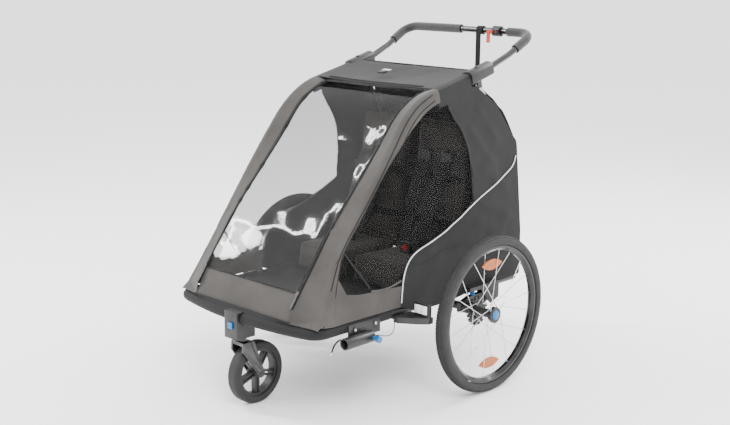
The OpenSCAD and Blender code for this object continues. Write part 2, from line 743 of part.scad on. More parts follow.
// The panel lies all round the window: below it to the rail, behind it to the rear skin
module panel_shape() {
    low = [[-575, 20], [-540, 16], [-450, 16], [-267, 16], [-222, -2], [-153, -12], [-60, -14], [12, -6],
        [15, 5], [163, 5], [166, 2], [rear_skin_y - gap, 8], [rear_skin_y - gap, 430], [262, 476], [200, 560]];
    brow = [for (i = [0:len(ridge_all) - 1]) if (ridge_all[i][0] > cover_end - 30 && ridge_all[i][0] < 60)
        inward(i, skin + gap)];
    difference() {
        polygon(concat([for (p = low) up(p)], [[104, receiver_at[1] - 24], [80, receiver_at[1] - 23],
            receiver_at + [-8, 8]], backwards(brow), [[-497, rail_z + 160]]));
        offset(delta = gap) cover_shape();
        offset(delta = gap) window_shape();
    }
}

// Fabric covers on the hoop: a face from the zip to the ridge and a return along the side
rows = len(ridge);
function face_row(i, inset) = let (n = out_of(ridge, i) * inset, x = side_x(ridge[i][0], ridge[i][1]))
    [[zip_x, zip_line[i][0] - n[0], zip_line[i][1] - n[1]],
        [x - tube_r - skin - gap - 3, ridge[i][0] - n[0], ridge[i][1] - n[1]],
        [x, ridge[i][0] - n[0], ridge[i][1] - n[1]]];

module hoop_covers() {
    color([0.38, 0.36, 0.34]) placed() both_sides() {
        skin_between([for (i = [0:rows - 1]) face_row(i, 0)], [for (i = [0:rows - 1]) face_row(i, face_t)]);
        side_piece() cover_shape();
    }
}

module profile_skin(points, t, w) {
    n = len(points);
    inner = [for (i = [n - 1:-1:0]) let (d = unit(points[min(i + 1, n - 1)] - points[max(i - 1, 0)]))
        points[i] + t * [d[1], -d[0]]];
    side_plate(0, w) polygon(concat(points, inner));
}

// The roof lies over the hoop tubes and runs back between the receivers
module roof_cover() {
    roof = [for (i = [0:len(ridge_all) - 1]) if (ridge_all[i][0] > cover_end + 6
        && ridge_all[i][0] < receiver_at[0] - 16) ridge_all[i]];
    edge = receiver_at + [-6, tube_r + gap + skin];
    color([0.22, 0.22, 0.22]) placed() {
        profile_skin(concat([ridge[rows - 1] + [gap, 0]], roof, [edge]), skin, 2 * cabin_x);
        profile_skin([edge, edge + [34, 8]], skin, 2 * (hoop_x - 19 - gap));
    }
}

front_top = rail_z + 605;
window_foot = rail_z + 98;
front_line = [for (p = zip_line) if (p[1] > window_foot && p[1] < front_top) p];

module front_window() {
    color([0.8, 0.85, 0.9, 0.4]) placed() profile_skin(concat([[-577, window_foot]], front_line,
        [[cover_end - 8, rail_z + 609]]), skin - 1, 2 * (zip_x - gap));
}

module front_panel() {
    color([0.38, 0.36, 0.34]) placed() profile_skin([zip_line[0], [-577.4, window_foot - 0.6]], skin,
        2 * (zip_x - gap));
}

// A slider runs on the straight lower stretch of its zip
zip_foot = zip_line[2];
zip_dir = unit(zip_line[3] - zip_line[1]);
module zip_slider(side) {
    tilt = atan2(zip_dir[1], zip_dir[0]);
    color([0.15, 0.15, 0.15]) placed() translate([side * (zip_x - 1), zip_foot[0] + 4, zip_foot[1] + 5])
        rotate([tilt, 0, 0]) translate([0, 0, gap]) {
            translate([-5, -8, 0]) cube([10, 16, 5]);
            translate([-4, -46, 1]) cube([8, 40, 2.5]);
        }
}
module zip_slider_left() {
    zip_slider(1);
}
module zip_slider_right() {
    zip_slider(-1);
}

// ---------- soft pieces of the cabin ----------

module side_panels() {
    color([0.2, 0.2, 0.2]) placed() both_sides() side_piece() panel_shape();
}

module side_windows() {
    color([0.1, 0.1, 0.1, 0.6]) placed() both_sides() side_piece() window_shape();
}

// Rear skin from the rails up to the roof's edge
module rear_cover() {
    back = concat([for (p = [[rear_skin_y + skin, 10], [rear_skin_y + skin, 150], [rear_skin_y + skin, 436],
        [232, 540], [165, 625]]) up(p)], [receiver_at + [41, 24]]);
    function across(p, inset) = let (w = side_x(p[0], p[1]) - (p[1] > rail_z + 600 ? 42 : 0),
        q = p - inset * (p[1] < rail_z + 430 ? [1, 0] : [0.78, 0.62]))
        [for (k = [0:4]) [w * (1 - k / 2), q[0], q[1]]];
    color([0.2, 0.2, 0.2]) placed() skin_between([for (p = back) across(p, 0)], [for (p = back) across(p, skin)]);
}

// ---------- seats ----------

seat_x = 124;
seat_w = 220;
seat_front = -175;
seat_top = rail_z + 96;
back_y = 66;
back_lean = 8;
buckle_y = -45;
module seat_cushions() {
    color([0.3, 0.28, 0.27]) placed() for (s = [-1, 1])
        translate([s * seat_x - seat_w / 2, seat_front, 0]) {
            translate([0, 0, seat_top - 34]) cube([seat_w, back_y - gap - seat_front, 34]);
            translate([0, 0, floor_z + skin + gap]) cube([seat_w, 10, seat_top - floor_z - skin - gap - 20]);
        }
}

module seat_backs() {
    color([0.3, 0.28, 0.27]) placed() for (s = [-1, 1])
        translate([s * seat_x - seat_w / 2, back_y, seat_top - 30]) rotate([-back_lean, 0, 0])
            cube([seat_w, 24, 450]);
}

// Shoulder straps from the back's upper slots down to the buckle
module harness_straps() {
    slot = [back_y - 4 + 354 * tan(back_lean), seat_top + 324];
    color([0.08, 0.08, 0.08]) placed() for (s = [-1, 1]) for (k = [-1, 1])
        sweep([[s * seat_x + k * 45, slot[0], slot[1]], [s * seat_x + k * 42, 56, seat_top + 210],
            [s * seat_x + k * 32, 4, seat_top + 94], [s * seat_x + k * 20, buckle_y + 9.6, seat_top + 34]],
            flat_shape(38, 6));
}

module buckles() {
    color([0.06, 0.06, 0.06]) placed() for (s = [-1, 1]) translate([s * seat_x, buckle_y, seat_top + 0.3])
        difference() {
            translate([-22, -8, 0]) cube([44, 14, 42]);
            translate([0, -9, 27]) rotate([-90, 0, 0]) cylinder(h = 8, r = 8 + run);
        }
}

module buckle_button(side) {
    color("red") placed() translate([side * seat_x, buckle_y - 10, seat_top + 27.3])
        rotate([-90, 0, 0]) cylinder(h = 5, r = 8);
}
module buckle_button_left() {
    buckle_button(1);
}
module buckle_button_right() {
    buckle_button(-1);
}

// ---------- handle ----------

handle_leg = [for (k = [13, receiver_len]) [hoop_x, receiver_at[0] + k * cos(receiver_tilt),
    receiver_at[1] + k * sin(receiver_tilt)]];
handle_corner = [hoop_x + 13, handle_back, rail_z + handle_up];
handle_bend = [hoop_x + 5, handle_back - 118, rail_z + handle_up - 62];
handle_half = concat(rounded(handle_leg[0], handle_bend, handle_corner, 160, 4),
    rounded(handle_bend, handle_corner, [0, handle_back - 6, rail_z + handle_up + 2], 42, 6));
grip_start = 5;

module handle_tube() {
    path = concat([handle_leg[1] + [0, -0.01, 0]], handle_half, [[0, handle_back - 6, rail_z + handle_up + 2]]);
    color([0.15, 0.15, 0.15]) placed() {
        for (s = [-1, 1]) at_receiver(s) translate([0, 0, 13]) cylinder(h = receiver_len - 12, r = handle_d / 2);
        sweep(concat(path, mirrored(path)), round_shape(handle_d / 2, 14));
    }
}

module handle_grips() {
    start = lerp(handle_bend, handle_corner, 0.3);
    long = concat([start], [for (i = [grip_start:len(handle_half) - 1]) handle_half[i]],
        [[22, handle_back - 6, rail_z + handle_up + 1.9]]);
    short = concat([start], [for (i = [grip_start:len(handle_half) - 1]) handle_half[i]],
        [[168, handle_back - 2.6, rail_z + handle_up + 0.8]]);
    color([0.22, 0.22, 0.22]) placed() for (s = [0, 1]) mirror([s, 0, 0]) difference() {
        sweep(s == 1 ? long : short, round_shape(grip_d / 2, 14));
        sweep(concat([start - unit(handle_corner - handle_bend) * 4], s == 1 ? long : short,
            [[s == 1 ? 16 : 160, handle_back - 5.5, rail_z + handle_up + 1.6]]),
            round_shape(handle_d / 2 + 2 * gap, 14));
    }
}

// The brake lever's clamp sits on the bar beside the left grip
lever_at = [126, handle_back - 4, rail_z + handle_up + 1];
module lever_clamp() {
    color([0.1, 0.1, 0.1]) placed() difference() {
        union() {
            translate([lever_at[0] - 14, lever_at[1], lever_at[2]]) rotate([0, 90, 0]) cylinder(h = 28, r = 17);
            translate([lever_at[0] - 14, lever_at[1] - 34, lever_at[2] - 6]) cube([28, 34, 12]);
        }
        translate([lever_at[0] - 20, lever_at[1], lever_at[2]]) rotate([0, 90, 0])
            cylinder(h = 40, r = handle_d / 2 + gap + 1);
        translate([lever_at[0] - 5.4, lever_at[1] - 36, lever_at[2] - 8]) cube([10.8, 15, 16]);
        translate([lever_at[0] - 20, lever_at[1] - 28, lever_at[2]]) rotate([0, 90, 0]) cylinder(h = 40, r = 2.5 + loose);
    }
}

module brake_lever() {
    color([0.85, 0.25, 0.1]) placed() {
        translate([lever_at[0] - 13.5, lever_at[1] - 28, lever_at[2]]) rotate([0, 90, 0]) cylinder(h = 27, r = 2.5);
        translate([lever_at[0] - 5, lever_at[1] - 52, lever_at[2] - 4]) cube([10, 28, 8]);
        translate([lever_at[0] - 5, lever_at[1] - 52, lever_at[2] - 34]) cube([10, 7, 34]);
    }
}

module wrist_strap() {
    top = [60, handle_back - 5, rail_z + handle_up + 1.6];
    color([0.1, 0.1, 0.1]) placed() {
        difference() {
            translate(top - [11, 0, 0]) rotate([0, 90, 0]) cylinder(h = 22, r = 14);
            translate(top - [12, 0, 0]) rotate([0, 90, 0]) cylinder(h = 24, r = handle_d / 2 + 2 * gap);
        }
        translate(top - [9, 17, 138]) cube([18, 3.4, 136]);
    }
}

// ---------- rear frame and stays ----------

// A U of tube whose legs turn on the rear lugs
module rear_frame() {
    bar_z = rear_pivot[1] + 300;
    color("dimgray") placed() difference() {
        union() {
            for (s = [-1, 1]) {
                tube([[s * leg_x, rear_pivot[0], rear_pivot[1]], [s * leg_x, rear_corner[0], rear_corner[1]]],
                    leg_r, 16);
                translate([s * leg_x - 8, rear_pivot[0], rear_pivot[1]]) rotate([0, 90, 0]) cylinder(h = 16, r = 12);
            }
            cross_pin(-leg_x, leg_x, [rear_pivot[0] + 9, bar_z], leg_r);
        }
        cross_pin(-leg_x - 20, -leg_x + 20, rear_pivot, 5 + run);
        cross_pin(leg_x - 20, leg_x + 20, rear_pivot, 5 + run);
    }
}

// Flat stays that brace the hoop's rear end on the rear frame's corners
module stays() {
    d = unit(stay_tip - stay_pivot);
    side = [-d[1], d[0]] * 9;
    color("silver") placed() both_sides() {
        side_plate(stay_x, stay_t) difference() {
            union() {
                polygon([stay_pivot + side, stay_pivot - side, stay_tip - side, stay_tip + side]);
                translate(stay_pivot) circle(r = 9);
                translate(stay_tip) circle(r = 9);
            }
            translate(stay_pivot) circle(r = 4 + loose);
        }
    }
}

base_tube();
cross_tubes();
bumper_sleeve();
floor_board();
hinge_lugs();
suspension_brackets();
drawbar_receiver();
wheel_guards();
head_block();
seat_cushions();
seat_backs();
harness_straps();
buckles();
side_panels();
side_windows();
rear_cover();
tether_cord();
tipped_cord();
cord_tip();
elastomer_springs();
swing_axle();
tyre_left();
rim_left();
spokes_left();
hub_left();
wheel_reflectors_left();
tyre_right();
rim_right();
spokes_right();
hub_right();
wheel_reflectors_right();
hub_button_left();
hub_button_right();
brake_pawl_left();
brake_pawl_right();
caster_fork();
caster_tyre();
caster_rim();
head_button();
hoop_tubes();
hoop_cross_tube();
handle_receivers();
hoop_covers();
roof_cover();
front_window();
front_panel();
receiver_button_left();
receiver_button_right();
zip_slider_left();
zip_slider_right();
handle_tube();
handle_grips();
lever_clamp();
wrist_strap();
brake_lever();
rear_frame();
stays();
drawbar_pin();
buckle_button_left();
buckle_button_right();
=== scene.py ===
import math

import bmesh
import bpy
from mathutils import Matrix, Vector, noise
from mathutils.bvhtree import BVHTree


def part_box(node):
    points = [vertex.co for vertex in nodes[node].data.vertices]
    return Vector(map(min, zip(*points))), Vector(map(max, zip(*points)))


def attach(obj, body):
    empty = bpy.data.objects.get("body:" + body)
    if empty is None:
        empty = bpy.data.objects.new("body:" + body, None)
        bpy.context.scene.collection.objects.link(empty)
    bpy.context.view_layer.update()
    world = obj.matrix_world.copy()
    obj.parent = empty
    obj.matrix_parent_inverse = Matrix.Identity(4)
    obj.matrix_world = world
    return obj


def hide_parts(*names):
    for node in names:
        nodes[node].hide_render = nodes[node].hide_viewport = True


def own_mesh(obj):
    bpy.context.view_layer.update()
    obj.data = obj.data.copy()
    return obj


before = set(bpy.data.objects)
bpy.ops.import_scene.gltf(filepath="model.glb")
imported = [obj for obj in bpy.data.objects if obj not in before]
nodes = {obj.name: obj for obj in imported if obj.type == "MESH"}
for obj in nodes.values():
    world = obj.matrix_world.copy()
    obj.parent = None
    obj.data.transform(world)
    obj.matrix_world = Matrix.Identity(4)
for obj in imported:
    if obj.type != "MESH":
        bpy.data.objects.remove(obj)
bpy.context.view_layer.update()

scene = bpy.context.scene
print("frame loaded:", len(nodes), "nodes")

# the main wheel's axle and radius, which the rest is placed from
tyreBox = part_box("tyre_left")
axleY = (tyreBox[0].y + tyreBox[1].y) / 2
axleZ = (tyreBox[0].z + tyreBox[1].z) / 2
wheelR = (tyreBox[1].z - tyreBox[0].z) / 2


def mm(x, y, z):
    return Vector((x / 1000, y / 1000 + axleY, z / 1000))  # millimetres, y from the main axle


def inMm(co):
    return co.x * 1000, (co.y - axleY) * 1000, co.z * 1000


def clamp01(t):
    return min(max(t, 0.0), 1.0)


def smooth01(t):
    t = clamp01(t)
    return t * t * (3 - 2 * t)


def lerp(a, b, t):
    return a + (b - a) * t


camera = {"place": (2532, -2761, 1330), "towards": (-0.6963, 0.6828, -0.2210), "lens": 59.28, "shift": 0.0548}


def makeCamera():
    data = bpy.data.cameras.new("camera")
    data.lens = camera["lens"]
    data.shift_x = camera["shift"]
    cam = bpy.data.objects.new("camera", data)
    scene.collection.objects.link(cam)
    cam.location = mm(*camera["place"])
    cam.rotation_mode = "QUATERNION"
    cam.rotation_quaternion = Vector(camera["towards"]).to_track_quat("-Z", "Y")
    scene.camera = cam


# each panel is a softbox: its place, width, height and power
studio = {"world": 2.3, "floor": (0.97, 0.97, 0.97), "aim": (0, 0, 0.55),
          "panels": [((-2.4, -1.5, 3.0), 0.14, 2.6, 130), ((2.6, -2.0, 3.2), 1.6, 1.6, 160),
                     ((0.6, 2.8, 2.6), 2.2, 1.6, 120)]}


def makeStudio():
    bpy.ops.mesh.primitive_plane_add(size=60, location=(0, 0, -0.0005))
    floor = bpy.context.object
    floor.name = "studio_floor"
    white = bpy.data.materials.new("paper")
    white.use_nodes = True
    shader = white.node_tree.nodes["Principled BSDF"]
    shader.inputs["Base Color"].default_value = (*studio["floor"], 1)
    shader.inputs["Roughness"].default_value = 0.9
    shader.inputs["Specular IOR Level"].default_value = 0.1
    floor.data.materials.append(white)
    world = bpy.data.worlds.new("studio")
    world.use_nodes = True
    world.node_tree.nodes["Background"].inputs["Color"].default_value = (1, 1, 1, 1)
    world.node_tree.nodes["Background"].inputs["Strength"].default_value = studio["world"]
    scene.world = world
    aim = Vector(studio["aim"])
    for k, (place, wide, tall, power) in enumerate(studio["panels"]):
        data = bpy.data.lights.new(f"softbox_{k}", "AREA")
        data.shape = "RECTANGLE"
        data.size = wide
        data.size_y = tall
        data.energy = power
        lamp = bpy.data.objects.new(f"softbox_{k}", data)
        scene.collection.objects.link(lamp)
        lamp.location = place
        lamp.rotation_mode = "QUATERNION"
        lamp.rotation_quaternion = (aim - Vector(place)).to_track_quat("-Z", "Y")


makeCamera()
makeStudio()
print("camera and studio ready")


def shaderOf(mat):
    return mat.node_tree.nodes["Principled BSDF"]


def coordsOf(mat, kind="Object"):
    found = mat.node_tree.nodes.get("coords") or mat.node_tree.nodes.new("ShaderNodeTexCoord")
    found.name = "coords"
    return found.outputs[kind]


def noiseNode(mat, scale, detail=3, stretch=(1, 1, 1), kind="Object"):
    tree = mat.node_tree
    mapping = tree.nodes.new("ShaderNodeMapping")
    mapping.inputs["Scale"].default_value = stretch
    tree.links.new(coordsOf(mat, kind), mapping.inputs["Vector"])
    tex = tree.nodes.new("ShaderNodeTexNoise")
    tex.inputs["Scale"].default_value = scale
    tex.inputs["Detail"].default_value = detail
    tree.links.new(mapping.outputs["Vector"], tex.inputs["Vector"])
    return tex.outputs["Fac"]


def addBump(mat, height, strength, distance):
    tree = mat.node_tree
    bump = tree.nodes.new("ShaderNodeBump")
    bump.inputs["Strength"].default_value = strength
    bump.inputs["Distance"].default_value = distance
    tree.links.new(height, bump.inputs["Height"])
    normal = shaderOf(mat).inputs["Normal"]
    if normal.is_linked:
        tree.links.new(normal.links[0].from_socket, bump.inputs["Normal"])
    tree.links.new(bump.outputs["Normal"], normal)


def addTones(mat, factor, dark, light, low=0.35, high=0.65):
    ramp = mat.node_tree.nodes.new("ShaderNodeValToRGB")
    ramp.color_ramp.elements[0].position = low
    ramp.color_ramp.elements[1].position = high
    ramp.color_ramp.elements[0].color = (*dark, 1)
    ramp.color_ramp.elements[1].color = (*light, 1)
    mat.node_tree.links.new(factor, ramp.inputs["Fac"])
    mat.node_tree.links.new(ramp.outputs["Color"], shaderOf(mat).inputs["Base Color"])


def addRoughness(mat, factor, low, high):
    span = mat.node_tree.nodes.new("ShaderNodeMapRange")
    span.inputs["To Min"].default_value = low
    span.inputs["To Max"].default_value = high
    mat.node_tree.links.new(factor, span.inputs["Value"])
    mat.node_tree.links.new(span.outputs["Result"], shaderOf(mat).inputs["Roughness"])


def finish(name, dark, light, rough, tones=14, grain=900, bump=0.15, depth=0.0004, **sockets):
    mat = bpy.data.materials.new(name)
    mat.use_nodes = True
    for key, value in sockets.items():
        shaderOf(mat).inputs[key.replace("_", " ")].default_value = value
    broad = noiseNode(mat, tones, 4)
    addTones(mat, broad, dark, light)
    addRoughness(mat, broad, rough[0], rough[1])
    addBump(mat, noiseNode(mat, grain, 2), bump, depth)
    return mat


def weaveHeight(mat, pitch):
    tree = mat.node_tree
    total = None
    for axis in ("X", "Y", "Z"):
        wave = tree.nodes.new("ShaderNodeTexWave")
        wave.wave_type = "BANDS"
        wave.bands_direction = axis
        wave.inputs["Scale"].default_value = 1 / (pitch * 3.1416 * 2)
        wave.inputs["Distortion"].default_value = 0.6
        wave.inputs["Detail"].default_value = 1
        tree.links.new(coordsOf(mat), wave.inputs["Vector"])
        if total is None:
            total = wave.outputs["Fac"]
        else:
            add = tree.nodes.new("ShaderNodeMath")
            add.operation = "ADD"
            tree.links.new(total, add.inputs[0])
            tree.links.new(wave.outputs["Fac"], add.inputs[1])
            total = add.outputs["Value"]
    return total


def cloth(name, dark, light, pitch=0.0014, crease=0.35, rough=(0.78, 0.92), **sockets):
    mat = bpy.data.materials.new(name)
    mat.use_nodes = True
    values = {"Sheen Weight": 0.25, "Sheen Roughness": 0.5, "Specular IOR Level": 0.25}
    values.update({key.replace("_", " "): value for key, value in sockets.items()})
    for key, value in values.items():
        shaderOf(mat).inputs[key].default_value = value
    broad = noiseNode(mat, 9, 5)
    addTones(mat, broad, dark, light, 0.3, 0.72)
    addRoughness(mat, broad, *rough)
    addBump(mat, noiseNode(mat, 16, 4, (1, 1, 0.5)), crease, 0.004)
    addBump(mat, weaveHeight(mat, pitch), 0.12, 0.0002)
    return mat


paint = finish("charcoal_powder_coat", (0.010, 0.010, 0.011), (0.016, 0.016, 0.0175), (0.32, 0.45),
               grain=1400, bump=0.08)
satinBlack = finish("satin_black_metal", (0.006, 0.006, 0.0065), (0.011, 0.011, 0.012), (0.3, 0.45),
                    grain=900)
glossBlack = finish("gloss_black_moulding", (0.004, 0.004, 0.0045), (0.008, 0.008, 0.0085), (0.14, 0.26),
                    tones=22, bump=0.05, Coat_Weight=0.4, Coat_Roughness=0.12)
grainedBlack = finish("grained_black_plastic", (0.006, 0.006, 0.0065), (0.012, 0.012, 0.0125), (0.4, 0.55),
                      grain=1500, bump=0.3)
rubber = finish("tyre_rubber", (0.008, 0.008, 0.008), (0.016, 0.0155, 0.015), (0.7, 0.85), tones=30,
                grain=600, bump=0.3, depth=0.0006)
foam = finish("grip_foam", (0.012, 0.012, 0.012), (0.02, 0.02, 0.02), (0.8, 0.95), tones=60, grain=1100,
              bump=0.6, depth=0.0008, Sheen_Weight=0.25)
steel = finish("spoke_steel", (0.55, 0.55, 0.56), (0.75, 0.75, 0.76), (0.16, 0.3), tones=80, Metallic=1.0)
alloy = finish("satin_alloy", (0.5, 0.5, 0.51), (0.68, 0.68, 0.69), (0.25, 0.4), tones=40, Metallic=1.0)
rimBlack = finish("rim_anodised", (0.008, 0.008, 0.009), (0.018, 0.018, 0.019), (0.16, 0.28), tones=30,
                  Metallic=0.6, Coat_Weight=0.3)
blue = finish("cyan_button", (0.0, 0.08, 0.24), (0.0, 0.11, 0.3), (0.28, 0.4), tones=30, bump=0.1,
              Coat_Weight=0.3)
blueRubber = finish("blue_elastomer", (0.0, 0.09, 0.3), (0.0, 0.13, 0.38), (0.5, 0.65), tones=40, bump=0.2)
red = finish("release_red", (0.4, 0.006, 0.004), (0.5, 0.01, 0.006), (0.3, 0.4), tones=40, bump=0.1)
leverRed = finish("lever_orange_red", (0.4, 0.035, 0.005), (0.5, 0.05, 0.008), (0.3, 0.42), tones=40,
                  bump=0.1)
amber = finish("amber_reflector", (0.3, 0.06, 0.0), (0.4, 0.09, 0.0), (0.25, 0.4), tones=90, grain=260,
               bump=0.4, depth=0.001, Coat_Weight=0.15)
whiteLens = finish("clear_reflector", (0.62, 0.63, 0.64), (0.85, 0.86, 0.87), (0.1, 0.25), tones=160,
                   grain=300, bump=0.6, depth=0.001, Coat_Weight=0.8)
piping = finish("reflective_piping", (0.45, 0.45, 0.46), (0.6, 0.6, 0.61), (0.35, 0.5), tones=90, bump=0.3)
webbing = cloth("black_webbing", (0.004, 0.004, 0.004), (0.008, 0.008, 0.008), pitch=0.0012, crease=0.05,
                Sheen_Weight=0.05)
greyCloth = cloth("warm_grey_polyester", (0.033, 0.030, 0.0275), (0.052, 0.048, 0.0445), crease=0.5,
                  Sheen_Weight=0.12)
roofCloth = cloth("charcoal_polyester", (0.0085, 0.0085, 0.009), (0.0145, 0.0145, 0.0152), crease=0.45,
                  Sheen_Weight=0.06)
sideCloth = cloth("black_polyester", (0.0065, 0.0065, 0.007), (0.0115, 0.0115, 0.012), crease=0.45,
                  Sheen_Weight=0.05)
seatCloth = cloth("seat_polyester", (0.022, 0.0185, 0.0165), (0.038, 0.033, 0.030), crease=0.25,
                  Sheen_Weight=0.1)
padCloth = cloth("pad_polyester", (0.004, 0.004, 0.004), (0.008, 0.008, 0.008), crease=0.2, Sheen_Weight=0.05)
sleeveCloth = cloth("sleeve_polyester", (0.0055, 0.0055, 0.006), (0.01, 0.01, 0.0105), crease=0.12,
                    Sheen_Weight=0.05)
zipBlack = cloth("zip_tape", (0.003, 0.003, 0.003), (0.006, 0.006, 0.006), pitch=0.001, crease=0.02,
                 Sheen_Weight=0.05)


def meshCloth():
    return finish("window_mesh_cloth", (0.003, 0.003, 0.003), (0.006, 0.006, 0.006), (0.3, 0.45), tones=9,
                  grain=60, bump=0.01, Alpha=0.3, Specular_IOR_Level=0.1)


def clearFilm():
    return finish("clear_film", (0.02, 0.02, 0.02), (0.03, 0.03, 0.03), (0.04, 0.09), tones=5, grain=60,
                  bump=0.02, depth=0.002, Alpha=0.1, Specular_IOR_Level=1.0, Coat_Weight=0.6,
                  Coat_Roughness=0.03)


sideMesh = meshCloth()
film = clearFilm()
print("materials ready")


def place(bm, name, mats, body, slot=None, replaces=(), smooth=40, recalc=False):
    if recalc:
        bmesh.ops.recalc_face_normals(bm, faces=bm.faces)
    mesh = bpy.data.meshes.new(name)
    bm.to_mesh(mesh)
    bm.free()
    for mat in mats if isinstance(mats, (list, tuple)) else [mats]:
        mesh.materials.append(mat)
    if smooth:
        mesh.shade_smooth()
        mesh.set_sharp_from_angle(angle=math.radians(smooth))
    piece = bpy.data.objects.new(name, mesh)
    scene.collection.objects.link(piece)
    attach(piece, body)
    if replaces:
        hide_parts(*replaces)
    return piece


def addBox(bm, centre, size, turn=None, bevel=0.0, mat=0, segments=2):
    made = bmesh.ops.create_cube(bm, size=1.0)
    verts = made["verts"]
    bmesh.ops.scale(bm, verts=verts, vec=size)
    if bevel:
        edges = list({e for v in verts for e in v.link_edges})
        out = bmesh.ops.bevel(bm, geom=edges, offset=bevel, affect="EDGES", segments=segments, profile=0.5,
                              material=-1)
        verts = list({v for f in out["faces"] for v in f.verts} | {v for v in verts if v.is_valid})
    if turn is not None:
        bmesh.ops.rotate(bm, verts=verts, cent=(0, 0, 0), matrix=turn)
    bmesh.ops.translate(bm, verts=verts, vec=centre)
    for f in {f for v in verts for f in v.link_faces}:
        f.material_index = mat
    return verts


def addCylinder(bm, a, b, r, r2=None, sides=32, bevel=0.0, mat=0):
    a, b = Vector(a), Vector(b)
    made = bmesh.ops.create_cone(bm, cap_ends=True, segments=sides, radius1=r,
                                 radius2=r if r2 is None else r2, depth=(b - a).length)
    verts = made["verts"]
    if bevel:
        edges = list({e for v in verts for e in v.link_edges if any(len(f.verts) > 4 for f in e.link_faces)})
        out = bmesh.ops.bevel(bm, geom=edges, offset=bevel, affect="EDGES", segments=2, profile=0.5,
                              material=-1)
        verts = list({v for f in out["faces"] for v in f.verts} | {v for v in verts if v.is_valid})
        verts = list({w for v in verts for e in v.link_edges for w in e.verts} | set(verts))
    bmesh.ops.rotate(bm, verts=verts, cent=(0, 0, 0), matrix=(b - a).to_track_quat("Z", "Y").to_matrix())
    bmesh.ops.translate(bm, verts=verts, vec=(a + b) / 2)
    for f in {f for v in verts for f in v.link_faces}:
        f.material_index = mat
    return verts


def smoothLine(points, per=6):
    points = [Vector(p) for p in points]
    line = []
    for i in range(len(points) - 1):
        p0, p1, p2 = points[max(i - 1, 0)], points[i], points[i + 1]
        p3 = points[min(i + 2, len(points) - 1)]
        for k in range(per):
            t = k / per
            line.append(0.5 * ((2 * p1) + (p2 - p0) * t + (2 * p0 - 5 * p1 + 4 * p2 - p3) * t * t
                               + (3 * p1 - p0 - 3 * p2 + p3) * t ** 3))
    line.append(points[-1])
    return line


def addSweep(bm, line, outline, normal0=None, mat=0, close=True):
    line = [Vector(p) for p in line]
    n = Vector(normal0) if normal0 else None
    rings = []
    for i, p in enumerate(line):
        t = (line[min(i + 1, len(line) - 1)] - line[max(i - 1, 0)]).normalized()
        if n is None:
            n = t.orthogonal()
        n = (n - t * n.dot(t)).normalized()
        b = t.cross(n)
        shape = outline(i / (len(line) - 1)) if callable(outline) else outline
        rings.append([bm.verts.new(p + n * u + b * v) for u, v in shape])
    faces = []
    for a, b in zip(rings, rings[1:]):
        for k in range(len(a)):
            faces.append(bm.faces.new((a[k], a[(k + 1) % len(a)], b[(k + 1) % len(a)], b[k])))
    if close:
        faces.append(bm.faces.new(list(reversed(rings[0]))))
        faces.append(bm.faces.new(rings[-1]))
    for f in faces:
        f.material_index = mat
    return rings


def circleOf(r, sides=16):
    turns = [2 * math.pi * k / sides for k in range(sides)]
    return [(r * math.cos(a), r * math.sin(a)) for a in turns]


def flatOf(w, h, r=None):
    r = min(w, h) / 2.2 if r is None else r
    pts = []
    corners = ((w / 2 - r, h / 2 - r), (r - w / 2, h / 2 - r), (r - w / 2, r - h / 2), (w / 2 - r, r - h / 2))
    for quarter, (cx, cy) in enumerate(corners):
        for k in range(3):
            a = math.radians(quarter * 90 + k * 45)
            pts.append((cx + r * math.cos(a), cy + r * math.sin(a)))
    return pts


def bothSides(bm):
    geom = bm.verts[:] + bm.edges[:] + bm.faces[:]
    out = bmesh.ops.duplicate(bm, geom=geom)["geom"]
    verts = [g for g in out if isinstance(g, bmesh.types.BMVert)]
    bmesh.ops.scale(bm, verts=verts, vec=(-1, 1, 1))
    bmesh.ops.reverse_faces(bm, faces=[g for g in out if isinstance(g, bmesh.types.BMFace)])


def dress(names, mat):
    for name in names:
        mesh = nodes[name].data
        mesh.materials.clear()
        mesh.materials.append(mat)
        for poly in mesh.polygons:
            poly.material_index = 0


# the cabin's outline from the side as (y, z), from the bumper back to the handle
ridgeLine = [(-602, 297), (-582, 314), (-513, 431), (-490, 471), (-474, 496), (-465, 508), (-300, 719),
             (-234, 804), (-218, 822), (-201, 839), (-182, 854), (-162, 868), (-141, 880), (-119, 891),
             (-96, 899), (-73, 905), (86, 940)]
cabin = {"rail": 304.9, "top": 265.0, "tubeToSkin": 15.9,
         "hoopX": [(290, 289), (306, 283.9), (462, 252.8), (475, 250.7), (487, 249.5), (498, 249.1)]}


def hoopX(z):
    table = cabin["hoopX"]
    if z <= table[0][0]:
        return table[0][1]
    for (z0, x0), (z1, x1) in zip(table, table[1:]):
        if z <= z1:
            return lerp(x0, x1, (z - z0) / (z1 - z0))
    return table[-1][1]


def sideX(y, z):
    front = hoopX(z) + cabin["tubeToSkin"]
    back = lerp(cabin["rail"], cabin["top"], clamp01((z - 430) / 420))
    return lerp(front, back, smooth01((y + 520) / 370))


def ridgeDepth(y, z):
    best = (1e9, 0.0, (0.0, 1.0))
    for (ay, az), (by, bz) in zip(ridgeLine, ridgeLine[1:]):
        dy, dz = by - ay, bz - az
        long = math.hypot(dy, dz)
        t = clamp01(((y - ay) * dy + (z - az) * dz) / long ** 2)
        qy, qz = ay + dy * t, az + dz * t
        d = math.hypot(y - qy, z - qz)
        if d < best[0]:
            out = (-dz / long, dy / long)
            best = (d, -((y - qy) * out[0] + (z - qz) * out[1]), out)
    return best[1], best[2]


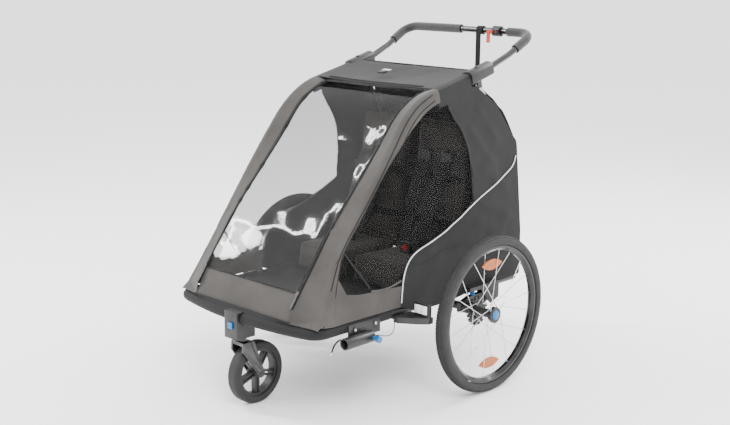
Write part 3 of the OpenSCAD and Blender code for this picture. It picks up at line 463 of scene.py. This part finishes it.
def roundRidge(bm):
    r = cabin["tubeToSkin"]
    for v in bm.verts:
        x, y, z = inMm(v.co)
        x = abs(x)
        if x < 200:
            continue
        u = sideX(y, z) - x
        d, out = ridgeDepth(y, z)
        if u >= r or d >= r or u < -3 or d < -3:
            continue
        a, b = r - u, r - d
        k = max(a, b) / math.hypot(a, b)
        x += u - (r - a * k)
        shift = d - (r - b * k)
        v.co = (math.copysign(x / 1000, v.co.x), v.co.y + out[0] * shift / 1000,
                v.co.z + out[1] * shift / 1000)


# the rear cloth's place at each height, as (z, y)
rearEdge = [(700, 299), (722, 296), (765, 270), (806, 242), (850, 210), (900, 173), (930, 150)]
rearPull = {"row": 25, "low": 702, "high": 928, "starts": 40, "spread": 60}


def tableAt(table, z):
    for (z0, y0), (z1, y1) in zip(table, table[1:]):
        if z <= z1:
            return lerp(y0, y1, clamp01((z - z0) / (z1 - z0)))
    return table[-1][1]


def straightenRear(bm):
    farthest = {}
    for v in bm.verts:
        _, y, z = inMm(v.co)
        row = round(z / rearPull["row"])
        farthest[row] = max(farthest.get(row, -1e9), y)
    for v in bm.verts:
        _, y, z = inMm(v.co)
        if z < rearPull["low"] or z > rearPull["high"]:
            continue
        k = z / rearPull["row"]
        low, high = farthest.get(math.floor(k)), farthest.get(math.ceil(k))
        was = lerp(low if low is not None else high, high if high is not None else low, k - math.floor(k))
        reach = smooth01((y - rearPull["starts"]) / max(was - rearPull["spread"], 1))
        v.co.y -= max(was - tableAt(rearEdge, z), 0) * reach / 1000


def gridded(node, steps):
    bm = bmesh.new()
    bm.from_mesh(nodes[node].data)
    bmesh.ops.remove_doubles(bm, verts=bm.verts, dist=1e-5)
    bmesh.ops.dissolve_limit(bm, angle_limit=math.radians(0.6), verts=bm.verts, edges=bm.edges)
    low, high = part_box(node)
    for axis, step in enumerate(steps):
        if not step:
            continue
        count = int((high[axis] - low[axis]) / step)
        for k in range(1, count + 1):
            co, no = [0, 0, 0], [0, 0, 0]
            co[axis] = low[axis] + k * (high[axis] - low[axis]) / (count + 1)
            no[axis] = 1
            bmesh.ops.bisect_plane(bm, geom=bm.verts[:] + bm.edges[:] + bm.faces[:], dist=1e-6, plane_co=co,
                                   plane_no=no)
    bmesh.ops.triangulate(bm, faces=[f for f in bm.faces if len(f.verts) > 4])
    return bm


def foldAt(y, z, a, b, width, height):
    dy, dz = b[0] - a[0], b[1] - a[1]
    long = math.hypot(dy, dz)
    t = ((y - a[0]) * dy + (z - a[1]) * dz) / long ** 2
    if t < -0.1 or t > 1.1:
        return 0.0
    d = ((y - a[0]) * dz - (z - a[1]) * dy) / long
    return height * math.exp(-(d / width) ** 2) * smooth01((t + 0.1) / 0.3) * smooth01((1.1 - t) / 0.3)


def ripple(y, z, scale, seed, turn=0.0, stretch=3.0):
    c, s = math.cos(turn), math.sin(turn)
    return noise.noise(Vector(((y * c + z * s) / scale / stretch, (z * c - y * s) / scale, seed)))


# each fold: its two ends as (y, z), its width and its height
sideFolds = [((-230, 425), (40, 442), 5, 2.2), ((-227, 414), (45, 430), 4, -2.4),
             ((60, 500), (230, 420), 16, 2.5), ((80, 560), (270, 470), 14, -2.5),
             ((110, 660), (250, 560), 18, 3), ((40, 800), (190, 640), 16, 3),
             ((90, 860), (200, 720), 12, -2.5), ((150, 330), (270, 420), 18, 3),
             ((-120, 300), (60, 400), 22, 2.5)]


def puffSide(bm, seed, height):
    for v in bm.verts:
        _, y, z = inMm(v.co)
        d, _ = ridgeDepth(y, z)
        give = smooth01((d - 12) / 50) * smooth01((z - 292) / 60) * smooth01((292 - y) / 50)
        push = height * ripple(y, z, 34, seed, 0.6) + sum(foldAt(y, z, *f) for f in sideFolds)
        v.co.x += math.copysign(give * push / 1000, v.co.x)


def sidePiece(name, node, mat, slot, body, step, height, seed):
    bm = gridded(node, (0, step, step))
    roundRidge(bm)
    if height:
        puffSide(bm, seed, height)
    straightenRear(bm)
    return place(bm, name, mat, body, slot, [node], smooth=35)


def foldsAway(piece):
    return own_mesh(piece)


sidePanels = sidePiece("side_panel_fabric", "side_panels", sideCloth, "side_fabric", "chassis", 0.012, 2.4,
                       3.1)
sideWindows = sidePiece("side_window_mesh", "side_windows", sideMesh, "window_mesh", "chassis", 0.014, 1.2,
                        7.7)
foldsAway(sideWindows)
print("sides ready")


def frontNormal(y, z):
    _, out = ridgeDepth(y, z)
    return Vector((0, out[0], out[1]))


def coverPiece():
    bm = gridded("hoop_covers", (0.012, 0.014, 0.014))
    roundRidge(bm)
    for v in bm.verts:
        x, y, z = inMm(v.co)
        x = abs(x)
        d, out = ridgeDepth(y, z)
        if x > 212 and sideX(y, z) - x > 14:
            wave = 1.6 * ripple(y, z, 30, 2.2) + 1.0 * ripple(x * 3, z, 22, 5.1)
            v.co += Vector((0, out[0], out[1])) * wave / 1000
    return place(bm, "hoop_cover_fabric", greyCloth, "hoop", "cover_fabric", ["hoop_covers"], smooth=35)


def roofPiece():
    bm = gridded("roof_cover", (0.014, 0.014, 0))
    roundRidge(bm)
    for v in bm.verts:
        x, y, _ = inMm(v.co)
        across = clamp01(1 - (x / 240) ** 2)
        along = math.sin(math.pi * clamp01((y + 50) / 150))
        v.co.z += (-9 * across * (0.35 + 0.65 * along) + 1.8 * ripple(x, y, 40, 4.4, 0.3) * across) / 1000
    return place(bm, "roof_fabric", roofCloth, "hoop", "roof_fabric", ["roof_cover"], smooth=35)


def rearPiece():
    bm = gridded("rear_cover", (0.014, 0, 0.014))
    for v in bm.verts:
        x, y, z = inMm(v.co)
        give = clamp01(1 - (x / 285) ** 4) * smooth01((z - 292) / 40) * smooth01((940 - z) / 50)
        push = 5 * ripple(x, z, 60, 9.3, 0.5) + 2.5 * ripple(x, z, 26, 1.3, -0.7)
        v.co.y += give * push / 1000
    straightenRear(bm)
    return place(bm, "rear_fabric", roofCloth, "chassis", "rear_fabric", ["rear_cover"], smooth=35)


# the film's folds, with their ends as (x, z)
filmFolds = [((-190, 800), (150, 700), 9, 3.5), ((-180, 760), (180, 640), 8, -3.0),
             ((-120, 700), (190, 560), 10, 4), ((-60, 620), (190, 500), 8, -3.5),
             ((20, 560), (195, 440), 9, 3.5), ((-190, 560), (60, 420), 12, 2.5),
             ((-190, 470), (20, 395), 10, -2.5), ((60, 450), (190, 390), 8, 3),
             ((-40, 850), (190, 780), 8, 3)]


def filmPiece():
    bm = gridded("front_window", (0.008, 0.009, 0))
    for v in bm.verts:
        x, y, z = inMm(v.co)
        edge = smooth01((202 - abs(x)) / 40) * smooth01((z - 376) / 40) * smooth01((884 - z) / 30)
        busy = clamp01(0.12 + smooth01((x + 40) / 150) * smooth01((z - 560) / 180)
                       + 0.8 * smooth01((455 - z) / 60) + 0.5 * smooth01((z - 800) / 60)
                       + 0.5 * smooth01((x - 90) / 100))
        fine = 2.6 * ripple(x, z, 15, 8.8, -0.45, 7) + 1.2 * ripple(x, z, 7, 5.8, -0.6, 8)
        push = 3.2 * ripple(x, z, 60, 3.3, -0.55, 3) + busy * fine
        push += 0.8 * busy * sum(foldAt(x, z, *f) for f in filmFolds)
        v.co += frontNormal(y, z) * edge * push / 1000
    return place(bm, "front_film", film, "hoop", "clear_film", ["front_window"], smooth=60)


def frontPanelPiece():
    bm = gridded("front_panel", (0.014, 0, 0.012))
    for v in bm.verts:
        x, y, z = inMm(v.co)
        edge = smooth01((202 - abs(x)) / 40)
        v.co += Vector((0, -0.82, 0.5)) * (edge * 3.0 * ripple(x, z, 40, 6.1, 0.2)) / 1000
    return place(bm, "front_lower_panel", greyCloth, "hoop", "cover_fabric", ["front_panel"], smooth=35)


hoopCover = coverPiece()
roofSkin = roofPiece()
rearSkin = rearPiece()
foldsAway(rearSkin)
frontFilm = filmPiece()
frontPanel = frontPanelPiece()
print("front, roof and rear ready")

# the zip down each side of the front, as (y, z)
zipLine = [(-619, 299), (-613, 332), (-585, 369), (-558, 405), (-503, 479), (-475, 516), (-404, 596),
           (-330, 675), (-258, 754), (-209, 813), (-155, 857), (-92, 886), (-66, 892)]


def treeOf(*pieces):
    verts, faces = [], []
    for piece in pieces:
        base = len(verts)
        verts += [v.co.copy() for v in piece.data.vertices]
        faces += [[base + k for k in poly.vertices] for poly in piece.data.polygons]
    return BVHTree.FromPolygons(verts, faces)


def spaced(points, step):
    points = [Vector(p) for p in points]
    out, rest = [points[0]], step
    for a, b in zip(points, points[1:]):
        long = (b - a).length
        gone = 0.0
        while long - gone >= rest:
            gone += rest
            out.append(a.lerp(b, gone / long))
            rest = step
        rest -= long - gone
    return out


def layOn(points, tree, towards, lift, even=0):
    towards = Vector(towards).normalized()
    rows = []
    for p in points:
        hit, normal, _, _ = tree.ray_cast(Vector(p) - towards * 0.12, towards, 0.4)
        if hit is None:
            hit, normal, _, _ = tree.find_nearest(Vector(p))
        if normal.dot(towards) > 0:
            normal = -normal
        rows.append([hit, normal])
    for _ in range(2):
        last = len(rows) - 1
        normals = [rows[max(i - 1, 0)][1] + rows[i][1] * 2 + rows[min(i + 1, last)][1]
                   for i in range(last + 1)]
        rows = [[row[0], normal.normalized()] for row, normal in zip(rows, normals)]
    for _ in range(even):
        inner = [[(rows[i - 1][0] + rows[i][0] * 2 + rows[i + 1][0]) / 4, rows[i][1]]
                 for i in range(1, len(rows) - 1)]
        rows = [rows[0]] + inner + [rows[-1]]
    return [(hit + normal * lift, normal) for hit, normal in rows]


def axesAt(rows, i):
    t = (rows[min(i + 1, len(rows) - 1)][0] - rows[max(i - 1, 0)][0]).normalized()
    n = (rows[i][1] - t * rows[i][1].dot(t)).normalized()
    return t, n, t.cross(n)


def addStrip(bm, rows, outline, mat=0):
    rings = []
    for i, (p, _) in enumerate(rows):
        _, n, s = axesAt(rows, i)
        rings.append([bm.verts.new(p + s * u + n * v) for u, v in outline])
    faces = []
    for a, b in zip(rings, rings[1:]):
        for k in range(len(a)):
            faces.append(bm.faces.new((a[k], b[k], b[(k + 1) % len(a)], a[(k + 1) % len(a)])))
    faces += [bm.faces.new(rings[0]), bm.faces.new(list(reversed(rings[-1])))]
    for f in faces:
        f.material_index = mat


def addTeeth(bm, rows, size, offset, mat=0):
    for i, (p, _) in enumerate(rows):
        t, n, s = axesAt(rows, i)
        turn = Matrix((s, t, n)).transposed()
        addBox(bm, p + s * (offset if i % 2 else -offset), size, turn.to_3x3(), mat=mat)


zips = {"tape": 0.0125, "tapeThick": 0.0014, "tapeLift": 0.0006, "step": 0.006,
        "ridge": 0.0042, "ridgeThick": 0.0016, "ridgeLift": 0.001,
        "tooth": (0.0026, 0.0016, 0.0013), "toothLift": 0.0026, "pitch": 0.0034, "stagger": 0.0011}
frontTree = treeOf(hoopCover, frontFilm, frontPanel, roofSkin)


def addZip(bm, points, towards, tree):
    rows = layOn(spaced(points, zips["step"]), tree, towards, zips["tapeLift"])
    addStrip(bm, rows, flatOf(zips["tape"], zips["tapeThick"]), 0)
    addStrip(bm, [(p + n * zips["ridgeLift"], n) for p, n in rows], flatOf(zips["ridge"], zips["ridgeThick"]),
             0)
    teeth = layOn(spaced(points, zips["pitch"]), tree, towards, zips["toothLift"])
    addTeeth(bm, teeth, zips["tooth"], zips["stagger"], 1)


def makeZips():
    bm = bmesh.new()
    side = smoothLine([mm(203, y, z) for y, z in zipLine], 5)
    addZip(bm, side[6:], (0, 0.8, -0.6), frontTree)
    bothSides(bm)
    addZip(bm, [mm(x, -62, 886) for x in range(-196, 197, 14)], (0, 0, -1), frontTree)
    addZip(bm, [mm(x, -576.5, 374.2) for x in range(-194, 195, 14)], (0, 0.8, -0.6), frontTree)
    return place(bm, "cover_zips", [zipBlack, grainedBlack], "hoop", "webbing", smooth=40, recalc=True)


makeZips()

pipingLine = [(-267, 305), (-261, 355), (-252, 395), (-240, 417), (-222, 437), (-190, 450), (-153, 461),
              (-72, 486), (12, 521), (97, 560), (157, 582), (219, 611), (262, 631), (276, 638), (284, 652),
              (287, 668)]
sideTree = treeOf(sidePanels, sideWindows, hoopCover)


def sideRows(line, lift, step=0.006, tree=None, even=0):
    points = spaced(smoothLine([mm(330, y, z) for y, z in line], 6), step)
    return layOn(points, tree or sideTree, (-1, 0, 0), lift, even)


def makePiping():
    bm = bmesh.new()
    rows = sideRows(pipingLine, 0.0012, even=24)
    addStrip(bm, rows, circleOf(0.0021, 8), 0)
    addStrip(bm, [(p - n * 0.0003, n) for p, n in rows], flatOf(0.009, 0.0012), 1)
    bothSides(bm)
    return place(bm, "side_piping", [piping, sideCloth], "chassis", "side_fabric", smooth=50, recalc=True)


foldsAway(makePiping())

windowEdge = [(67, 556), (66, 600), (65, 644), (56, 713), (31, 768), (-2, 815), (-30, 850)]
pocketSeam = [(-227, 420), (-196, 411), (-164, 408), (-96, 426), (-27, 432), (45, 438)]
meshSeam = [(-467, 482), (-440, 444), (-410, 402), (-384, 366)]
lowerEdge = [(-384, 362), (-340, 358), (-300, 362), (-262, 372)]


def makeSeams():
    bm = bmesh.new()
    for line, wide, mat in ((windowEdge, 0.008, 0), (pocketSeam, 0.005, 0), (meshSeam, 0.006, 0),
                            (lowerEdge, 0.006, 1)):
        addStrip(bm, sideRows(line, 0.0008, even=8), flatOf(wide, 0.0016), mat)
    bothSides(bm)
    return place(bm, "side_seams", [sideCloth, greyCloth], "chassis", "side_fabric", smooth=50, recalc=True)


foldsAway(makeSeams())


def makeCoverWelts():
    bm = bmesh.new()
    for depth in (7, 27):
        line = []
        for y, z in zipLine[3:-1]:
            d, out = ridgeDepth(y, z)
            line.append((y - out[0] * (depth - d), z - out[1] * (depth - d)))
        addStrip(bm, sideRows(line, 0.0002, tree=treeOf(hoopCover)), flatOf(0.0035, 0.0016), 0)
    bothSides(bm)
    return place(bm, "hoop_cover_welts", [sleeveCloth], "hoop", "cover_fabric", smooth=50, recalc=True)


makeCoverWelts()


def greyFront():
    bm = bmesh.new()
    bm.from_mesh(sidePanels.data)
    a, b = mm(0, -267, 305), mm(0, -252, 395)
    across = (b - a).cross(Vector((1, 0, 0))).normalized()
    bmesh.ops.bisect_plane(bm, geom=bm.verts[:] + bm.edges[:] + bm.faces[:], dist=1e-6, plane_co=a,
                           plane_no=across)
    for f in bm.faces:
        c = f.calc_center_median()
        ahead = c.y < lerp(a.y, b.y, (c.z - a.z) / (b.z - a.z))
        f.material_index = 1 if ahead and c.z < 0.52 else 0
    bm.to_mesh(sidePanels.data)
    bm.free()
    sidePanels.data.materials.append(greyCloth)


greyFront()
foldsAway(sidePanels)
print("zips, piping and seams ready")


def smoothCopy(name, node, mat, slot, body, angle=40, bevel=0.0):
    bm = bmesh.new()
    bm.from_mesh(nodes[node].data)
    bmesh.ops.remove_doubles(bm, verts=bm.verts, dist=1e-5)
    bmesh.ops.dissolve_limit(bm, angle_limit=math.radians(1), verts=bm.verts, edges=bm.edges)
    if bevel:
        edges = [e for e in bm.edges if len(e.link_faces) == 2 and e.calc_face_angle(0) > math.radians(32)]
        bmesh.ops.bevel(bm, geom=edges, offset=bevel, affect="EDGES", segments=2, profile=0.5, material=-1,
                        clamp_overlap=True)
    return place(bm, name, mat, body, slot, [node], smooth=angle)


# piece, node, finish, slot, body, smoothing angle in degrees and bevel in metres
copies = [("base_frame_tube", "base_tube", paint, "frame_tube", "chassis", 40, 0),
          ("hoop_frame_tubes", "hoop_tubes", paint, "frame_tube", "hoop", 40, 0),
          ("rear_frame_tube", "rear_frame", paint, "frame_tube", "rear_frame", 40, 0),
          ("handle_bar", "handle_tube", glossBlack, "handle_black", "handle", 40, 0),
          ("foam_grips", "handle_grips", foam, "foam_grip", "handle", 45, 0),
          ("bumper_foam", "bumper_sleeve", sleeveCloth, "rail_sleeve", "chassis", 45, 0),
          ("wheel_guard_trays", "wheel_guards", grainedBlack, "guard", "chassis", 35, 0.0012),
          ("handle_housings", "handle_receivers", grainedBlack, "black_plastic", "hoop", 35, 0.0015),
          ("steerer_block", "head_block", grainedBlack, "black_plastic", "chassis", 35, 0.0012),
          ("front_fork", "caster_fork", glossBlack, "fork_black", "caster_fork", 35, 0.0012),
          ("drawbar_housing", "drawbar_receiver", satinBlack, "bracket", "chassis", 35, 0.0008),
          ("harness_buckles", "buckles", grainedBlack, "black_plastic", "chassis", 35, 0.0012)]
for name, node, mat, slot, body, angle, bevel in copies:
    smoothCopy(name, node, mat, slot, body, angle, bevel)
springs = smoothCopy("rubber_springs", "elastomer_springs", blueRubber, "elastomer", "chassis", 35, 0)
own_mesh(springs)
print("frame copies ready")

# each row of tread blocks: its place across, their width and length, and its phase
tyre = {"pitch": 180,
        "rows": ((-0.0125, 0.0058, 0.0060, 0.5), (-0.0048, 0.0050, 0.0052, 0), (0.0048, 0.0050, 0.0052, 0.5),
                 (0.0125, 0.0058, 0.0060, 0)),
        "lug": 0.0017}


def tyreSection(wide, rimR, carcass):
    mid = (rimR + carcass) / 2
    tall = (carcass - rimR) / 2
    pts = []
    for k in range(25):
        a = math.radians(-128 + k * 256 / 24)
        bulge = 1 - 0.1 * abs(math.sin(a)) ** 6
        pts.append((wide / 2 * math.sin(a) * bulge, mid + tall * math.cos(a)))
    return pts


def makeTyre(name, node, body):
    low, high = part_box(node)
    across = (low.x + high.x) / 2
    wide = high.x - low.x - 0.0012
    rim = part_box("rim_left")
    rimR = (rim[1].z - rim[0].z) / 2 - 0.004
    carcass = wheelR - tyre["lug"] - 0.0002
    bm = bmesh.new()
    section = tyreSection(wide, rimR, carcass)
    ring = [bm.verts.new((x, 0, r)) for x, r in section]
    edges = [bm.edges.new(pair) for pair in zip(ring, ring[1:])]
    edges.append(bm.edges.new((ring[-1], ring[0])))
    bmesh.ops.spin(bm, geom=ring + edges, cent=(0, 0, 0), axis=(1, 0, 0), angle=2 * math.pi, steps=120,
                   use_merge=True)
    bmesh.ops.remove_doubles(bm, verts=bm.verts, dist=1e-6)
    bmesh.ops.recalc_face_normals(bm, faces=bm.faces)
    for offset, blockWide, blockLong, phase in tyre["rows"]:
        t = abs(offset) / (wide / 2)
        radius = (rimR + carcass) / 2 + (carcass - rimR) / 2 * math.sqrt(1 - t * t)
        lean = -math.asin(t) * math.copysign(0.85, offset)
        for k in range(tyre["pitch"]):
            a = 2 * math.pi * (k + phase) / tyre["pitch"]
            turn = Matrix.Rotation(a, 3, "X") @ Matrix.Rotation(-lean, 3, "Y")
            centre = Matrix.Rotation(a, 3, "X") @ Vector((offset, 0, radius + tyre["lug"] * 0.2))
            addBox(bm, centre, (blockWide, blockLong, tyre["lug"] * 1.6), turn)
    bmesh.ops.translate(bm, verts=bm.verts, vec=(across, axleY, axleZ))
    return place(bm, name, rubber, body, "tyre", [node], smooth=30)


makeTyre("left_tyre_tread", "tyre_left", "wheel_left")
makeTyre("right_tyre_tread", "tyre_right", "wheel_right")


hubCap = {"from": 0.4398, "to": 0.4484,
          "dome": ((0, 0.0), (0, 0.0148), (0.35, 0.0148), (0.7, 0.0132), (0.92, 0.0098), (1, 0.0055),
                   (1, 0.0))}


def makeCap(side, name, node, body):
    bm = bmesh.new()
    section = [(lerp(side * hubCap["from"], side * hubCap["to"], t), r) for t, r in hubCap["dome"]]
    ring = [bm.verts.new((x, 0, r)) for x, r in section]
    edges = [bm.edges.new(pair) for pair in zip(ring, ring[1:])]
    bmesh.ops.spin(bm, geom=ring + edges, cent=(0, 0, 0), axis=(1, 0, 0), angle=2 * math.pi, steps=48,
                   use_merge=True)
    bmesh.ops.remove_doubles(bm, verts=bm.verts, dist=1e-6)
    bmesh.ops.translate(bm, verts=bm.verts, vec=(0, axleY, axleZ))
    place(bm, name, blue, body, "blue_accent", [node], smooth=50, recalc=True)


makeCap(1, "left_hub_cap", "hub_button_left", "hub_button_left")
makeCap(-1, "right_hub_cap", "hub_button_right", "hub_button_right")
print("wheels ready")

# millimetres for the place, metres for the size
guardLens = {"middle": (364.4, -250.4, 295), "apart": 11.6, "size": (0.0222, 0.0018, 0.025), "edge": 0.0006}


def makeGuardLenses():
    bm = bmesh.new()
    x, y, z = guardLens["middle"]
    for k in (-1, 1):
        addBox(bm, mm(x + k * guardLens["apart"], y, z), guardLens["size"], None, guardLens["edge"])
    bothSides(bm)
    return place(bm, "guard_lenses", [whiteLens], "chassis", "guard", smooth=30)


makeGuardLenses()


bolts = {"at": ((-465, 270), (-383, 273)), "head": (0.3102, 0.3142), "foot": 0.0052, "top": 0.0042,
         "edge": 0.0006, "socket": (0.3138, 0.3146), "key": 0.0022}


def makeBolts():
    bm = bmesh.new()
    for y, z in bolts["at"]:
        a = mm(0, y, z)
        low, high = [(x, a.y, a.z) for x in bolts["head"]]
        addCylinder(bm, low, high, bolts["foot"], bolts["top"], 24, bolts["edge"])
        low, high = [(x, a.y, a.z) for x in bolts["socket"]]
        addCylinder(bm, low, high, bolts["key"], bolts["key"], 6)
    return place(bm, "drawbar_bolts", [alloy], "chassis", "silver_metal", smooth=35)


makeBolts()


# the tag, its buckle and the rear buckle: place, size, tilt in degrees, edge and finish
roofBits = [((-20, 12, 935), (0.030, 0.014, 0.0012), 8, 0.0004, 0),
            ((-20, -8, 930), (0.026, 0.020, 0.006), 10, 0.0015, 1),
            ((20, 108, 940), (0.030, 0.012, 0.006), 0, 0.0018, 1)]


def makeRoofBits():
    bm = bmesh.new()
    for at, size, tilt, edge, mat in roofBits:
        addBox(bm, mm(*at), size, Matrix.Rotation(math.radians(tilt), 3, "X"), edge, mat)
    return place(bm, "roof_tag_and_buckle", [piping, grainedBlack], "hoop", "black_plastic", smooth=35)


makeRoofBits()


# the apron reaches from the front panel's foot down to the bumper, whose bow is a parabola
apron = {"columns": 20, "step": 10.5, "top": (-620.2, 303), "bottom": 291.5, "nose": -632, "bow": 2177,
         "half": 0.0012}


def makeApron():
    bm = bmesh.new()
    rings = []
    for k in range(-apron["columns"], apron["columns"] + 1):
        x = k * apron["step"]
        bow = apron["nose"] + x * x / apron["bow"]
        top = mm(x, *apron["top"])
        bottom = mm(x, bow - 1, apron["bottom"])
        n = Vector((0, -0.7, 0.7)) * apron["half"]
        rings.append([bm.verts.new(p) for p in (top + n, bottom + n, bottom - n, top - n)])
    for a, b in zip(rings, rings[1:]):
        for j in range(4):
            bm.faces.new((a[j], a[(j + 1) % 4], b[(j + 1) % 4], b[j]))
    bm.faces.new(rings[0])
    bm.faces.new(list(reversed(rings[-1])))
    return place(bm, "front_apron", [sleeveCloth], "hoop", "cover_fabric", smooth=40, recalc=True)


makeApron()
print("small fittings ready")

# "most" is how far the cloth may swell from the CAD's shape
pads = {"voxel": 0.006, "pressure": 4.0, "frames": 20, "shrink": 0.985, "mass": 0.3, "stiffness": 12,
        "bending": 0.3, "most": {"cushion": 0.008, "back": 0.010}}


def leftHalf(node):
    bm = bmesh.new()
    bm.from_mesh(nodes[node].data)
    bmesh.ops.remove_doubles(bm, verts=bm.verts, dist=1e-5)
    bmesh.ops.delete(bm, geom=[v for v in bm.verts if v.co.x < 0.001], context="VERTS")
    return bm


def applied(piece):
    graph = bpy.context.evaluated_depsgraph_get()
    graph.update()
    mesh = bpy.data.meshes.new_from_object(piece.evaluated_get(graph))
    piece.modifiers.clear()
    old = piece.data
    piece.data = mesh
    bpy.data.meshes.remove(old)


def softened(name, node, mat, slot, most):
    bm = leftHalf(node)
    centre = sum((v.co for v in bm.verts), Vector()) / len(bm.verts)
    bmesh.ops.scale(bm, verts=bm.verts, vec=[pads["shrink"]] * 3, space=Matrix.Translation(-centre))
    mesh = bpy.data.meshes.new(name)
    bm.to_mesh(mesh)
    bm.free()
    piece = bpy.data.objects.new(name, mesh)
    scene.collection.objects.link(piece)
    remesh = piece.modifiers.new("remesh", "REMESH")
    remesh.mode = "VOXEL"
    remesh.voxel_size = pads["voxel"]
    applied(piece)
    start = [v.co.copy() for v in piece.data.vertices]
    sim = piece.modifiers.new("cloth", "CLOTH").settings
    sim.effector_weights.gravity = 0
    sim.use_pressure = True
    sim.uniform_pressure_force = pads["pressure"]
    sim.quality = 5
    sim.mass = pads["mass"]
    sim.tension_stiffness = pads["stiffness"]
    sim.compression_stiffness = pads["stiffness"]
    sim.bending_stiffness = pads["bending"]
    for tick in range(1, pads["frames"] + 1):
        scene.frame_set(tick)
    applied(piece)
    scene.frame_set(1)
    for v, was in zip(piece.data.vertices, start):
        push = v.co - was
        if push.length > most:
            v.co = was + push.normalized() * most
    bm = bmesh.new()
    bm.from_mesh(piece.data)
    for _ in range(2):
        bmesh.ops.smooth_vert(bm, verts=bm.verts, factor=0.5, use_axis_x=True, use_axis_y=True,
                              use_axis_z=True)
    for v in bm.verts:
        n = v.normal
        v.co += n * (0.0009 * noise.noise(v.co * 28) + 0.0005 * noise.noise(v.co * 70))
    bothSides(bm)
    bpy.data.objects.remove(piece)
    made = place(bm, name, mat, "chassis", slot, [node], smooth=60)
    print(name, "padded")
    return made


softened("seat_cushion_pads", "seat_cushions", seatCloth, "seat_fabric", pads["most"]["cushion"])
backPads = softened("seat_back_pads", "seat_backs", seatCloth, "seat_fabric", pads["most"]["back"])
foldsAway(backPads)

straps = smoothCopy("harness_webbing", "harness_straps", webbing, "webbing", "chassis", 35, 0)
foldsAway(straps)
seatBack = {"lean": math.radians(8), "foot": (66, 373)}


def seatSpot(x, up, out):
    lean = seatBack["lean"]
    y0, z0 = seatBack["foot"]
    return mm(x, y0 + math.sin(lean) * up - math.cos(lean) * out, z0 + math.cos(lean) * up)


# pairs are the value at the shoulder and the one at the waist
harness = {"seat": 124, "apart": (43, 33), "height": (655, 500), "wide": 0.050, "thick": 0.012,
           "round": 0.0028, "ahead": 0.006}


def padOutline(t):
    end = clamp01(min(t, 1 - t) / 0.09) ** 0.5
    return flatOf(harness["wide"] * (0.72 + 0.28 * end), harness["thick"] * (0.45 + 0.55 * end),
                  harness["round"])


def makeHarnessPads():
    tree = treeOf(straps)
    bm = bmesh.new()
    for side in (-1, 1):
        line = []
        for k in range(11):
            t = k / 10
            probe = mm(harness["seat"] + side * lerp(*harness["apart"], t), 60, lerp(*harness["height"], t))
            hit, _, _, _ = tree.ray_cast(probe + Vector((0, -0.2, 0)), Vector((0, 1, 0)), 0.5)
            if hit is None:
                hit = seatSpot(harness["seat"] + side * 42, lerp(270, 120, t), 14)
            line.append(hit + Vector((0, -harness["ahead"], 0)))
        addSweep(bm, smoothLine(line[::2], 6), padOutline, (1, 0, 0), 0)
    bothSides(bm)
    piece = place(bm, "harness_pads", [padCloth], "chassis", "webbing", smooth=50, recalc=True)
    return piece


foldsAway(makeHarnessPads())

backStraps = {"heights": (95, 235), "half": 228, "step": 12, "tall": 0.024, "thick": 0.0016, "out": 15.5}
adjusters = {"across": (82, 166), "heights": (150, 300), "out": 21, "size": (0.040, 0.006, 0.026),
             "edge": 0.0018}


def makeSeatStraps():
    bm = bmesh.new()
    half = backStraps["half"]
    for up in backStraps["heights"]:
        line = [seatSpot(x, up, backStraps["out"]) for x in range(-half, half + 1, backStraps["step"])]
        addSweep(bm, line, flatOf(backStraps["thick"], backStraps["tall"], 0.0006), (0, 1, 0), 0)
    turn = Matrix.Rotation(-seatBack["lean"], 3, "X")
    for x in adjusters["across"]:
        for up in adjusters["heights"]:
            for side in (1, -1):
                spot = seatSpot(side * x, up, adjusters["out"])
                addBox(bm, spot, adjusters["size"], turn, adjusters["edge"], 1)
    return place(bm, "seat_back_straps", [webbing, grainedBlack], "chassis", "webbing", smooth=40,
                 recalc=True)


foldsAway(makeSeatStraps())
print("seats and harness ready")

# where each cord runs, in millimetres from the axle
tetherRoute = [(336, -411.6, 249), (342, -398, 247), (347, -380, 242), (346, -360, 240), (338, -338, 242),
               (326, -320, 249), (316, -309, 257), (313, -303, 262)]
tippedRoute = [(306, -518, 254), (303, -527, 249), (301, -536, 241), (303, -545, 232), (305, -551, 224)]


def makeCord(name, node, route, diameter, **how):
    points = [mm(*p) for p in route]
    data = bpy.data.curves.new(name, "CURVE")
    data.dimensions = "3D"
    data.bevel_depth = diameter / 2
    data.bevel_resolution = 3
    data.use_fill_caps = True
    spline = data.splines.new("POLY")
    line = smoothLine(points, 5)
    spline.points.add(len(line) - 1)
    for point, p in zip(spline.points, line):
        point.co = (*p, 1)
    data.materials.append(webbing)
    cord = bpy.data.objects.new(name, data)
    scene.collection.objects.link(cord)
    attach(cord, "chassis")
    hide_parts(node)
    return cord


makeCord("pin_tether", "tether_cord", tetherRoute, 0.0025, far_end="object", stiffness="medium",
         lay="hanging")
makeCord("hanging_cord", "tipped_cord", tippedRoute, 0.005, far_end="fitting", stiffness="stiff",
         lay="hanging", with_pieces=[nodes["cord_tip"]])
# the CAD pieces that show as they are
dress(["cross_tubes", "hinge_lugs", "hoop_cross_tube"], paint)
dress(["floor_board"], grainedBlack)
dress(["suspension_brackets", "swing_axle"], satinBlack)
dress(["lever_clamp", "hub_left", "hub_right", "caster_rim",
       "receiver_button_left", "receiver_button_right", "zip_slider_left", "zip_slider_right"], grainedBlack)
dress(["caster_tyre"], rubber)
dress(["rim_left", "rim_right"], rimBlack)
dress(["spokes_left", "spokes_right"], steel)
dress(["brake_pawl_left", "brake_pawl_right", "stays", "cord_tip"], alloy)
dress(["wheel_reflectors_left", "wheel_reflectors_right"], amber)
dress(["head_button", "drawbar_pin"], blue)
dress(["buckle_button_left", "buckle_button_right"], red)
dress(["brake_lever"], leverRed)
dress(["wrist_strap"], webbing)
print("CAD pieces dressed")
